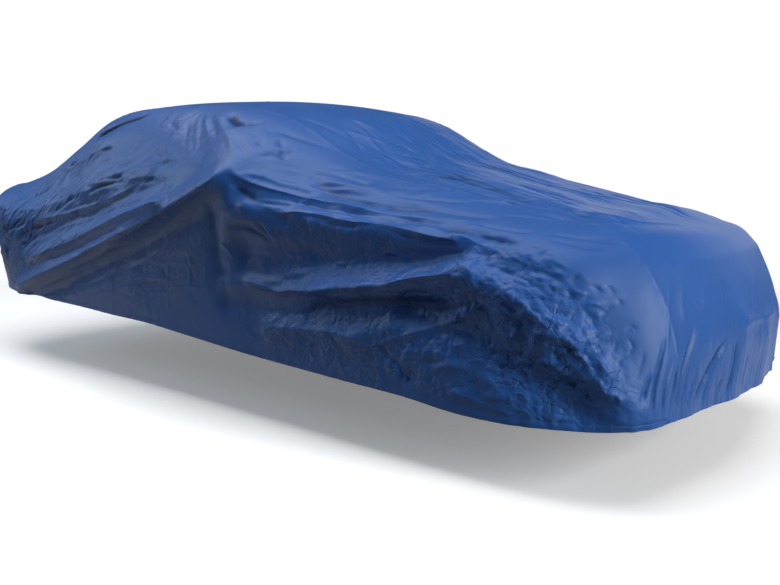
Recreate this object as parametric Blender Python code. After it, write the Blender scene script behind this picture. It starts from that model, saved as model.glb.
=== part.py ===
"""Elasticated outdoor car cover, modelled as the hollow shape in which its cloth hangs when it is fitted.

Metres, +X toward the front end, -Y the near side, +Z up. The origin is on the underside of the cloth at
the middle of the roof zone. Three sewn panels make it: one long top panel from the tail hem to the front
hem, and a side panel at each side, which meets the top panel at a seam and ends in the elasticated hem.

The shape is a loft. SECTIONS holds one row for each cross-section, from the tail to the front, and each
cross-section runs from hem to hem over five guide lines: crown, seam, shoulder, waist and hem. A smooth
curve joins the rows, and another joins the guide lines. The folds of the cloth are then added along the
surface normals, from the tables of folds. Each panel is that surface given the cloth's thickness.
"""
import bpy
import numpy as np

# Sizes of the cloth, metres
CLOTH_THICKNESS = 0.002
PANEL_GAP = 0.0003
SEAM_HALF_WIDTH = 0.60
ROOF_HEIGHT = 1.445
HEIGHT_OF_ORIGIN = ROOF_HEIGHT - CLOTH_THICKNESS

# Mesh density of the solids
ROWS_ALONG = 80
COLUMNS_TOP = 12
COLUMNS_NEAR_SIDE = 24
COLUMNS_FAR_SIDE = 14

# How much closer together the rows stand at the front than halfway, as a share: the folds are finer there
ROW_CROWDING = 0.30

# Columns of the fine grid from whose first step the side panels' slope at the seam is read
SEAM_SLOPE_COLUMNS = 100

# A side's curve comes from this share of the way from the seam toward the crown
INWARD_SHARE = 0.25

# Colour and finish of the coated fabric
CLOTH_COLOR = (0.070, 0.140, 0.340, 1.0)
CLOTH_ROUGHNESS = 0.45

# One row for each cross-section. X is measured from the origin and heights from the floor.
SECTION_COLUMNS = (
    "crown_x", "crown_height", "seam_x", "seam_height", "shoulder_half_width", "shoulder_height",
    "waist_half_width", "hem_x", "hem_half_width", "hem_height")
SECTIONS = (
    (-2.07, 0.42, -1.970, 0.400, 0.612, 0.399, 0.625, -1.965, 0.640, 0.398),
    (-2.13, 0.62, -2.050, 0.600, 0.655, 0.540, 0.695, -1.890, 0.735, 0.390),
    (-2.14, 0.85, -2.070, 0.830, 0.710, 0.720, 0.785, -1.730, 0.810, 0.382),
    (-2.08, 1.02, -2.030, 0.995, 0.780, 0.890, 0.850, -1.500, 0.850, 0.376),
    (-1.87, 1.06, -1.850, 1.025, 0.820, 0.920, 0.880, -1.280, 0.865, 0.373),
    (-1.50, 1.14, -1.470, 1.110, 0.845, 0.890, 0.890, -1.000, 0.870, 0.372),
    (-1.12, 1.29, -1.100, 1.255, 0.870, 0.870, 0.895, -0.750, 0.875, 0.368),
    (-0.80, 1.408, -0.780, 1.378, 0.895, 0.850, 0.900, -0.500, 0.880, 0.360),
    (-0.40, 1.442, -0.400, 1.406, 0.920, 0.870, 0.900, -0.200, 0.880, 0.353),
    (0.00, 1.445, 0.000, 1.393, 0.945, 0.900, 0.900, 0.100, 0.880, 0.333),
    (0.48, 1.403, 0.450, 1.335, 0.955, 1.030, 0.900, 0.600, 0.880, 0.299),
    (0.76, 1.340, 0.660, 1.258, 0.935, 0.935, 0.900, 0.860, 0.880, 0.287),
    (1.02, 1.212, 0.860, 1.150, 0.900, 0.900, 0.895, 1.100, 0.885, 0.278),
    (1.38, 1.078, 1.280, 1.035, 0.860, 0.865, 0.895, 1.400, 0.890, 0.269),
    (1.76, 0.985, 1.700, 0.945, 0.820, 0.840, 0.895, 1.680, 0.890, 0.248),
    (2.08, 0.900, 2.030, 0.865, 0.775, 0.775, 0.855, 1.930, 0.865, 0.250),
    (2.24, 0.836, 2.140, 0.805, 0.710, 0.690, 0.790, 2.090, 0.820, 0.257),
    (2.335, 0.670, 2.235, 0.655, 0.670, 0.570, 0.735, 2.190, 0.760, 0.266),
    (2.375, 0.490, 2.285, 0.480, 0.645, 0.425, 0.680, 2.250, 0.695, 0.272),
    (2.360, 0.290, 2.280, 0.280, 0.615, 0.279, 0.630, 2.272, 0.640, 0.277),
)

# Folds, each a straight or bowed line along which the cloth stands out (positive rise) or sinks in. The
# side folds are drawn as seen from the side (x, height), the top folds from above (x, y) and the end
# folds along X (y, height). Bow is how far the line's middle stands above the straight line between its
# ends, and width the distance from the line at which the rise has fallen to a third. All in metres.
FOLD_COLUMNS = ("start_across", "start_up", "end_across", "end_up", "bow", "start_width", "end_width", "rise")
NEAR_SIDE_FOLDS = (
    (0.50, 1.030, -1.50, 0.415, -0.012, 0.055, 0.055, 0.030),
    (0.40, 0.920, -1.35, 0.370, -0.015, 0.065, 0.050, -0.026),
    (0.10, 0.940, -1.30, 0.605, 0.015, 0.045, 0.045, 0.018),
    (0.05, 1.000, -1.35, 0.690, 0.015, 0.045, 0.045, -0.014),
    (-0.10, 1.080, -1.55, 0.760, 0.040, 0.050, 0.060, 0.014),
    (-0.35, 1.200, -1.45, 0.950, 0.020, 0.060, 0.050, -0.010),
    (0.50, 1.000, 0.42, 0.640, 0.020, 0.060, 0.060, -0.020),
    (0.60, 0.985, 0.86, 0.900, -0.010, 0.030, 0.030, -0.016),
    (0.66, 0.940, 1.62, 0.840, -0.020, 0.036, 0.036, 0.024),
    (0.60, 0.745, 1.62, 0.782, -0.025, 0.090, 0.036, -0.034),
    (0.42, 0.600, 1.05, 0.625, -0.010, 0.040, 0.040, 0.012),
    (1.00, 0.622, 1.68, 0.732, -0.020, 0.045, 0.045, 0.026),
    (0.45, 0.510, 1.55, 0.590, -0.020, 0.060, 0.060, -0.014),
    (1.15, 0.440, 1.66, 0.590, 0.010, 0.040, 0.040, 0.010),
    (1.62, 0.735, 2.20, 0.320, 0.075, 0.050, 0.060, 0.030),
    (1.45, 0.590, 2.06, 0.330, 0.030, 0.075, 0.075, -0.032),
    (0.70, 0.440, 1.20, 0.460, 0.000, 0.050, 0.050, 0.012),
    (0.00, 1.370, 0.30, 1.140, 0.000, 0.050, 0.050, -0.012),
    (0.22, 1.360, 0.58, 1.130, 0.000, 0.050, 0.050, 0.010),
    (0.62, 1.260, 0.80, 1.060, 0.000, 0.060, 0.060, -0.010),
)
FAR_SIDE_FOLDS = (
    (0.50, 1.045, -1.50, 0.440, -0.010, 0.070, 0.070, 0.026),
    (0.40, 0.920, -1.30, 0.400, -0.010, 0.080, 0.070, -0.020),
    (0.62, 0.980, 1.75, 0.850, 0.000, 0.070, 0.070, 0.016),
    (0.60, 0.700, 1.70, 0.640, -0.030, 0.080, 0.080, -0.018),
    (1.55, 0.700, 2.15, 0.330, 0.050, 0.080, 0.080, 0.018),
)
TOP_FOLDS = (
    (0.75, -0.35, 1.95, -0.50, 0.020, 0.070, 0.070, 0.010),
    (0.90, -0.12, 1.95, -0.20, 0.010, 0.080, 0.080, -0.008),
    (0.85, 0.18, 2.00, 0.12, 0.010, 0.080, 0.080, 0.008),
    (0.80, 0.40, 1.95, 0.45, -0.020, 0.080, 0.080, -0.008),
    (2.02, -0.60, 2.02, 0.60, 0.040, 0.070, 0.070, 0.012),
    (1.10, -0.55, 1.14, 0.55, -0.050, 0.120, 0.120, -0.016),
    (-0.85, -0.30, -1.80, -0.42, 0.020, 0.080, 0.080, 0.010),
    (-0.80, 0.25, -1.80, 0.30, 0.020, 0.090, 0.080, -0.010),
)
FRONT_FOLDS = (
    (-0.52, 0.300, -0.46, 0.520, 0.000, 0.060, 0.060, 0.010),
    (-0.22, 0.290, -0.18, 0.560, 0.000, 0.060, 0.060, 0.010),
    (0.08, 0.290, 0.06, 0.480, 0.000, 0.060, 0.060, 0.010),
    (0.38, 0.290, 0.36, 0.540, 0.000, 0.060, 0.060, 0.010),
)
REAR_FOLDS = (
    (-0.30, 0.420, -0.26, 0.620, 0.000, 0.070, 0.070, 0.010),
    (0.26, 0.420, 0.22, 0.640, 0.000, 0.070, 0.070, 0.010),
)

# The cloth is pulled out to a soft point at each side: a cone with a rounded tip
PEAK_X = 0.555
PEAK_UP = 1.055
PEAK_RISE = 0.040
PEAK_REACH = 0.16
PEAK_TIP_RADIUS = 0.03


def smooth_through(knots, values, positions):
    """Values at the given positions of the smooth curve through the knots, with straight-line slopes at
    its ends: a cubic Hermite curve whose slope at each knot is the mean slope beside it."""
    steps = np.diff(knots)
    chords = np.diff(values, axis=0) / steps[:, None]
    slopes = np.empty_like(values)
    slopes[0] = chords[0]
    slopes[-1] = chords[-1]
    before = steps[:-1, None]
    after = steps[1:, None]
    slopes[1:-1] = (chords[:-1] * after + chords[1:] * before) / (before + after)
    span = np.clip(np.searchsorted(knots, positions, side="right") - 1, 0, len(knots) - 2)
    length = steps[span][:, None]
    along = (positions - knots[span])[:, None] / length
    start_weight = 1 - along ** 2 * (3 - 2 * along)
    start_slope_weight = along * (1 - along) ** 2
    end_slope_weight = along ** 2 * (along - 1)
    return (values[span] * start_weight + values[span + 1] * (1 - start_weight)
            + length * (slopes[span] * start_slope_weight + slopes[span + 1] * end_slope_weight))


def lengthwise_rows(rows):
    """The section table resampled to the rows, as a dictionary of columns."""
    table = np.array(SECTIONS)
    at = {name: column for column, name in enumerate(SECTION_COLUMNS)}
    seam_steps = np.hypot(np.diff(table[:, at["seam_x"]]), np.diff(table[:, at["seam_height"]]))
    hem_steps = np.abs(np.diff(table[:, at["hem_x"]]))
    knots = np.concatenate([[0], np.cumsum((seam_steps + hem_steps) / 2)])
    share = np.linspace(0, 1, rows)
    share += ROW_CROWDING * share * (1 - share)
    resampled = smooth_through(knots, table, knots[-1] * share)
    return {name: resampled[:, column] for name, column in at.items()}


def guide_lines(rows):
    """The crown, seam, shoulder, waist and hem lines of the far side, each as an array of points."""
    section = lengthwise_rows(rows)
    crown = np.stack([section["crown_x"], np.zeros(rows), section["crown_height"]], axis=1)
    seam = np.stack([section["seam_x"], np.full(rows, SEAM_HALF_WIDTH), section["seam_height"]], axis=1)
    hem = np.stack([section["hem_x"], section["hem_half_width"], section["hem_height"]], axis=1)
    waist_height = (section["shoulder_height"] + section["hem_height"]) / 2

    def between(half_width, height):
        down = (section["seam_height"] - height) / (section["seam_height"] - section["hem_height"])
        x = section["seam_x"] + (section["hem_x"] - section["seam_x"]) * down
        return np.stack([x, half_width, height], axis=1)

    shoulder = between(section["shoulder_half_width"], section["shoulder_height"])
    waist = between(section["waist_half_width"], waist_height)
    return crown, seam, shoulder, waist, hem


def side_surface(rows, columns):
    """Grid of points of one side, from the seam (first column) to the hem, at positive Y."""
    crown, seam, shoulder, waist, hem = guide_lines(rows)
    grid = np.empty((rows, columns + 1, 3))
    for row in range(rows):
        inward = seam[row] + (crown[row] - seam[row]) * INWARD_SHARE
        points = np.stack([inward, seam[row], shoulder[row], waist[row], hem[row]])
        knots = np.concatenate([[0], np.cumsum(np.linalg.norm(np.diff(points, axis=0), axis=1))])
        grid[row] = smooth_through(knots, points, np.linspace(knots[1], knots[-1], columns + 1))
    return grid


def top_surface(rows, columns):
    """Grid of points of the top panel, from the seam at negative Y to the seam at positive Y. With s the
    share of the way from the crown to a seam, its x and its height follow
    crown + (seam - crown) * s^2 + fullness * s^2 * (s^2 - 1),
    where the fullness is what makes the panel leave the seam in line with the side panel."""
    crown, seam, _, _, _ = guide_lines(rows)
    leaving = side_surface(rows, SEAM_SLOPE_COLUMNS)[:, :2]
    slope = (leaving[:, 1] - leaving[:, 0]) / (leaving[:, 1, 1:2] - leaving[:, 0, 1:2]) * SEAM_HALF_WIDTH
    fullness = slope / 2 - (seam - crown)
    squared = np.linspace(-1, 1, columns + 1)[None, :, None] ** 2
    grid = crown[:, None, :] + (seam - crown)[:, None, :] * squared
    grid += fullness[:, None, :] * squared * (squared - 1)
    grid[..., 1] = SEAM_HALF_WIDTH * np.linspace(-1, 1, columns + 1)
    return grid


def whole_surface(rows, near_columns, top_columns, far_columns):
    """Grid of points from the near hem over the top to the far hem, one row for each cross-section."""
    near = side_surface(rows, near_columns)[:, ::-1] * (1, -1, 1)
    top = top_surface(rows, top_columns)
    far = side_surface(rows, far_columns)
    return np.concatenate([near, top[:, 1:-1], far], axis=1)


def outward_normals(grid):
    """Unit normals of a grid of points, from its differences along the rows and the columns."""
    along = np.gradient(grid, axis=0)
    across = np.gradient(grid, axis=1)
    normals = np.cross(along, across)
    return normals / np.linalg.norm(normals, axis=2, keepdims=True)


def fold_rise(across, up, folds):
    """Sum of the folds at points given by two coordinates. For a fold from start to end, with t the share
    of the way along it and d the distance from it less bow * 4t(1 - t), the rise is
    rise * exp(-(d / width)^2) * fade, where fade drops to nothing just past both ends."""
    total = np.zeros_like(across)
    for row in folds:
        fold = dict(zip(FOLD_COLUMNS, row))
        run = np.array([fold["end_across"] - fold["start_across"], fold["end_up"] - fold["start_up"]])
        length = np.hypot(*run)
        along_unit = run / length
        from_start_across = across - fold["start_across"]
        from_start_up = up - fold["start_up"]
        t = (from_start_across * along_unit[0] + from_start_up * along_unit[1]) / length
        inside = np.clip(t, 0, 1)
        upward = 1 if run[0] >= 0 else -1
        offset = upward * (from_start_up * along_unit[0] - from_start_across * along_unit[1])
        offset = offset - fold["bow"] * 4 * inside * (1 - inside)
        width = fold["start_width"] + (fold["end_width"] - fold["start_width"]) * inside
        past_end = np.abs(t - inside) * length
        total += fold["rise"] * np.exp(-(offset / width) ** 2 - (past_end / width) ** 2)
    return total


def peak_rise(x, up):
    """The cone of the side peak, rise * exp(-r / reach), with r rounded off at the tip."""
    distance = np.sqrt((x - PEAK_X) ** 2 + (up - PEAK_UP) ** 2 + PEAK_TIP_RADIUS ** 2)
    return PEAK_RISE * np.exp(-(distance - PEAK_TIP_RADIUS) / PEAK_REACH)


def folded_surface(rows, near_columns, top_columns, far_columns):
    """The whole surface with its folds, each set weighted by how far the cloth faces its way."""
    grid = whole_surface(rows, near_columns, top_columns, far_columns)
    normals = outward_normals(grid)
    x, y, up = grid[..., 0], grid[..., 1], grid[..., 2]
    facing = {
        "near": np.clip(-normals[..., 1], 0, 1),
        "far": np.clip(normals[..., 1], 0, 1),
        "top": np.clip(normals[..., 2], 0, 1),
        "front": np.clip(normals[..., 0], 0, 1),
        "rear": np.clip(-normals[..., 0], 0, 1),
    }
    rise = facing["near"] * (fold_rise(x, up, NEAR_SIDE_FOLDS) + peak_rise(x, up))
    rise += facing["far"] * (fold_rise(x, up, FAR_SIDE_FOLDS) + peak_rise(x, up))
    rise += facing["top"] * fold_rise(x, y, TOP_FOLDS)
    rise += facing["front"] * fold_rise(y, up, FRONT_FOLDS)
    rise += facing["rear"] * fold_rise(y, up, REAR_FOLDS)
    return grid + normals * rise[..., None]


def fabric_material(name, color):
    material = bpy.data.materials.new(name)
    material.use_nodes = True
    shader = material.node_tree.nodes["Principled BSDF"]
    shader.inputs["Base Color"].default_value = color
    shader.inputs["Roughness"].default_value = CLOTH_ROUGHNESS
    shader.inputs["Metallic"].default_value = 0.0
    return material


def cloth_solid(name, outer, normals, color):
    """A closed solid from a grid of outer points: an outer skin, an inner skin one cloth thickness
    below it, and a rim round all four edges. Both skins are cut into triangles along the same
    diagonals, so that they stay one thickness apart everywhere."""
    rows, columns = outer.shape[:2]
    inner = outer - normals * CLOTH_THICKNESS
    points = np.concatenate([outer.reshape(-1, 3), inner.reshape(-1, 3)])
    index = np.arange(rows * columns).reshape(rows, columns)
    lower_halves = np.stack([index[:-1, :-1], index[1:, :-1], index[1:, 1:]], axis=-1)
    upper_halves = np.stack([index[:-1, :-1], index[1:, 1:], index[:-1, 1:]], axis=-1)
    outer_faces = np.concatenate([lower_halves.reshape(-1, 3), upper_halves.reshape(-1, 3)])
    inner_faces = outer_faces[:, ::-1] + rows * columns
    loop = np.concatenate([index[0, :-1], index[:-1, -1], index[-1, :0:-1], index[:0:-1, 0]])
    after = np.roll(loop, -1)
    rim_faces = np.stack([loop, after, after + rows * columns, loop + rows * columns], axis=-1)
    faces = outer_faces.tolist() + inner_faces.tolist() + rim_faces.tolist()
    mesh = bpy.data.meshes.new(name)
    mesh.from_pydata(points.tolist(), [], faces)
    mesh.validate()
    mesh.shade_smooth()
    mesh.set_sharp_from_angle(angle=np.radians(60))
    mesh.materials.append(fabric_material(name + "_fabric", color))
    piece = bpy.data.objects.new(name, mesh)
    bpy.context.scene.collection.objects.link(piece)
    return piece


def pull_in_edges(grid, first_edge, last_edge):
    """Move the grid's first and last columns inward by half the gap between panels, where asked."""
    pulled = grid.copy()
    if first_edge:
        inward = grid[:, 1] - grid[:, 0]
        pulled[:, 0] += inward / np.linalg.norm(inward, axis=1, keepdims=True) * PANEL_GAP / 2
    if last_edge:
        inward = grid[:, -2] - grid[:, -1]
        pulled[:, -1] += inward / np.linalg.norm(inward, axis=1, keepdims=True) * PANEL_GAP / 2
    return pulled


def build_cover():
    surface = folded_surface(ROWS_ALONG + 1, COLUMNS_NEAR_SIDE, COLUMNS_TOP, COLUMNS_FAR_SIDE)
    surface[..., 2] -= HEIGHT_OF_ORIGIN
    normals = outward_normals(surface)
    near_seam = COLUMNS_NEAR_SIDE
    far_seam = COLUMNS_NEAR_SIDE + COLUMNS_TOP
    panels = (
        ("side_panel_near", slice(0, near_seam + 1), False, True),
        ("top_panel", slice(near_seam, far_seam + 1), True, True),
        ("side_panel_far", slice(far_seam, None), True, False),
    )
    for name, columns, first_edge, last_edge in panels:
        outer = pull_in_edges(surface[:, columns], first_edge, last_edge)
        cloth_solid(name, outer, normals[:, columns], CLOTH_COLOR)


for leftover in list(bpy.data.objects):
    bpy.data.objects.remove(leftover, do_unlink=True)
build_cover()
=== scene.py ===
"""Looks of the fitted car cover: deep blue coated cloth, hollow, with roof, bonnet and tail zones.

The three panels repeat the loft of the part's source on a fine grid. On it lie the main folds, then streaks
where the cloth is drawn tight, crinkles where it is slack, the creases of its packing, the sewn seams and
the gathered hem. Metres, +X toward the front end, -Y the near side, +Z up, the origin under the roof zone.
"""

import math

import bpy
import numpy as np
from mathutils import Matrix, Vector
from mathutils.geometry import delaunay_2d_cdt


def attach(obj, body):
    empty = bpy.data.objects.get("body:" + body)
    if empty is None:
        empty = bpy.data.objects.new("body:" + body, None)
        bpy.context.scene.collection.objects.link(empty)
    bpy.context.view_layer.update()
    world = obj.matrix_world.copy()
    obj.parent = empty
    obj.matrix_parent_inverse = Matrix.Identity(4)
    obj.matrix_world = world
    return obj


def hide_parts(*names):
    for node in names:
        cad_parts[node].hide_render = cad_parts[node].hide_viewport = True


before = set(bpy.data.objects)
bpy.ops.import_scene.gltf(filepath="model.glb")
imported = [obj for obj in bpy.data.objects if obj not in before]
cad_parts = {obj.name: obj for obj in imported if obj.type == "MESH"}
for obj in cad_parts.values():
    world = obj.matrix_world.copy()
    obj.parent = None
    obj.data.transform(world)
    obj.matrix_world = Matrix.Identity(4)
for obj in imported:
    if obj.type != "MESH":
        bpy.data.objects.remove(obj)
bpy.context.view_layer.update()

# ---------------------------------------------------------------- sizes of the loft, as in the part's source
CLOTH_THICKNESS = 0.002
SEAM_HALF_WIDTH = 0.60
ROOF_HEIGHT = 1.445
HEIGHT_OF_ORIGIN = ROOF_HEIGHT - CLOTH_THICKNESS

SECTION_COLUMNS = (
    "crown_x", "crown_height", "seam_x", "seam_height", "shoulder_half_width", "shoulder_height",
    "waist_half_width", "hem_x", "hem_half_width", "hem_height")
SECTIONS = (
    (-2.07, 0.42, -1.970, 0.400, 0.612, 0.399, 0.625, -1.965, 0.640, 0.398),
    (-2.13, 0.62, -2.050, 0.600, 0.655, 0.540, 0.695, -1.890, 0.735, 0.390),
    (-2.14, 0.85, -2.070, 0.830, 0.710, 0.720, 0.785, -1.730, 0.810, 0.382),
    (-2.08, 1.02, -2.030, 0.995, 0.780, 0.890, 0.850, -1.500, 0.850, 0.376),
    (-1.87, 1.06, -1.850, 1.025, 0.820, 0.920, 0.880, -1.280, 0.865, 0.373),
    (-1.50, 1.14, -1.470, 1.110, 0.845, 0.890, 0.890, -1.000, 0.870, 0.372),
    (-1.12, 1.29, -1.100, 1.255, 0.870, 0.870, 0.895, -0.750, 0.875, 0.368),
    (-0.80, 1.408, -0.780, 1.378, 0.895, 0.850, 0.900, -0.500, 0.880, 0.360),
    (-0.40, 1.442, -0.400, 1.406, 0.920, 0.870, 0.900, -0.200, 0.880, 0.353),
    (0.00, 1.445, 0.000, 1.393, 0.945, 0.900, 0.900, 0.100, 0.880, 0.333),
    (0.48, 1.403, 0.450, 1.335, 0.955, 1.030, 0.900, 0.600, 0.880, 0.299),
    (0.76, 1.340, 0.660, 1.258, 0.935, 0.935, 0.900, 0.860, 0.880, 0.287),
    (1.02, 1.212, 0.860, 1.150, 0.900, 0.900, 0.895, 1.100, 0.885, 0.278),
    (1.38, 1.078, 1.280, 1.035, 0.860, 0.865, 0.895, 1.400, 0.890, 0.269),
    (1.76, 0.985, 1.700, 0.945, 0.820, 0.840, 0.895, 1.680, 0.890, 0.248),
    (2.08, 0.900, 2.030, 0.865, 0.775, 0.775, 0.855, 1.930, 0.865, 0.250),
    (2.24, 0.836, 2.140, 0.805, 0.710, 0.690, 0.790, 2.090, 0.820, 0.257),
    (2.335, 0.670, 2.235, 0.655, 0.670, 0.570, 0.735, 2.190, 0.760, 0.266),
    (2.375, 0.490, 2.285, 0.480, 0.645, 0.425, 0.680, 2.250, 0.695, 0.272),
    (2.360, 0.290, 2.280, 0.280, 0.615, 0.279, 0.630, 2.272, 0.640, 0.277),
)

# Density of the finished cloth: about 8 mm between points, and 10 mm down the far side
ROWS_ALONG = 600
COLUMNS_TOP = 160
COLUMNS_NEAR_SIDE = 150
COLUMNS_FAR_SIDE = 120

# The side panels' slope at the seam is read from the first step of a side with this many columns
SEAM_SLOPE_COLUMNS = 100

# A side's curve comes from this share of the way from the seam toward the crown
INWARD_SHARE = 0.25

# How much closer together the rows stand at the front than halfway, as a share: the folds are finer there
ROW_CROWDING = 0.30

# ---------------------------------------------------------------- folds
# Folds, each a straight or bowed line along which the cloth stands out (positive rise) or sinks in. The
# side folds are drawn as seen from the side (x, height), the top folds from above (x, y) and the end
# folds along X (y, height). Bow is how far the line's middle stands above the straight line between its
# ends, and width the distance from the line at which the rise has fallen to a third. All in metres.
FOLD_COLUMNS = ("start_across", "start_up", "end_across", "end_up", "bow", "start_width", "end_width", "rise")
NEAR_SIDE_FOLDS = (
    (0.50, 1.030, -1.50, 0.415, -0.012, 0.055, 0.055, 0.030),
    (0.40, 0.920, -1.35, 0.370, -0.015, 0.065, 0.050, -0.026),
    (0.10, 0.940, -1.30, 0.605, 0.015, 0.045, 0.045, 0.018),
    (0.05, 1.000, -1.35, 0.690, 0.015, 0.045, 0.045, -0.014),
    (-0.10, 1.080, -1.55, 0.760, 0.040, 0.050, 0.060, 0.014),
    (-0.35, 1.200, -1.45, 0.950, 0.020, 0.060, 0.050, -0.010),
    (0.50, 1.000, 0.42, 0.640, 0.020, 0.060, 0.060, -0.020),
    (0.60, 0.985, 0.86, 0.900, -0.010, 0.030, 0.030, -0.016),
    (0.66, 0.940, 1.62, 0.840, -0.020, 0.036, 0.036, 0.024),
    (0.60, 0.745, 1.62, 0.782, -0.025, 0.090, 0.036, -0.034),
    (0.42, 0.600, 1.05, 0.625, -0.010, 0.040, 0.040, 0.012),
    (1.00, 0.622, 1.68, 0.732, -0.020, 0.045, 0.045, 0.026),
    (0.45, 0.510, 1.55, 0.590, -0.020, 0.060, 0.060, -0.014),
    (1.15, 0.440, 1.66, 0.590, 0.010, 0.040, 0.040, 0.010),
    (1.62, 0.735, 2.20, 0.320, 0.075, 0.050, 0.060, 0.030),
    (1.45, 0.590, 2.06, 0.330, 0.030, 0.075, 0.075, -0.032),
    (0.70, 0.440, 1.20, 0.460, 0.000, 0.050, 0.050, 0.012),
    (0.00, 1.370, 0.30, 1.140, 0.000, 0.050, 0.050, -0.012),
    (0.22, 1.360, 0.58, 1.130, 0.000, 0.050, 0.050, 0.010),
    (0.62, 1.260, 0.80, 1.060, 0.000, 0.060, 0.060, -0.010),
)
FAR_SIDE_FOLDS = (
    (0.50, 1.045, -1.50, 0.440, -0.010, 0.070, 0.070, 0.026),
    (0.40, 0.920, -1.30, 0.400, -0.010, 0.080, 0.070, -0.020),
    (0.62, 0.980, 1.75, 0.850, 0.000, 0.070, 0.070, 0.016),
    (0.60, 0.700, 1.70, 0.640, -0.030, 0.080, 0.080, -0.018),
    (1.55, 0.700, 2.15, 0.330, 0.050, 0.080, 0.080, 0.018),
)
TOP_FOLDS = (
    (0.75, -0.35, 1.95, -0.50, 0.020, 0.070, 0.070, 0.010),
    (0.90, -0.12, 1.95, -0.20, 0.010, 0.080, 0.080, -0.008),
    (0.85, 0.18, 2.00, 0.12, 0.010, 0.080, 0.080, 0.008),
    (0.80, 0.40, 1.95, 0.45, -0.020, 0.080, 0.080, -0.008),
    (2.02, -0.60, 2.02, 0.60, 0.040, 0.070, 0.070, 0.012),
    (1.10, -0.55, 1.14, 0.55, -0.050, 0.120, 0.120, -0.016),
    (-0.85, -0.30, -1.80, -0.42, 0.020, 0.080, 0.080, 0.010),
    (-0.80, 0.25, -1.80, 0.30, 0.020, 0.090, 0.080, -0.010),
)
FRONT_FOLDS = (
    (-0.52, 0.300, -0.46, 0.520, 0.000, 0.060, 0.060, 0.010),
    (-0.22, 0.290, -0.18, 0.560, 0.000, 0.060, 0.060, 0.010),
    (0.08, 0.290, 0.06, 0.480, 0.000, 0.060, 0.060, 0.010),
    (0.38, 0.290, 0.36, 0.540, 0.000, 0.060, 0.060, 0.010),
)
REAR_FOLDS = (
    (-0.30, 0.420, -0.26, 0.620, 0.000, 0.070, 0.070, 0.010),
    (0.26, 0.420, 0.22, 0.640, 0.000, 0.070, 0.070, 0.010),
)

# The cloth is pulled out to a soft point at each side: a cone with a rounded tip
PEAK_X = 0.555
PEAK_UP = 1.055
PEAK_RISE = 0.040
PEAK_REACH = 0.16
PEAK_TIP_RADIUS = 0.03

# The point itself is drawn sharper in the finished cloth: a second, small cone
POINT_RISE = 0.010
POINT_REACH = 0.040
POINT_TIP_RADIUS = 0.004

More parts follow.
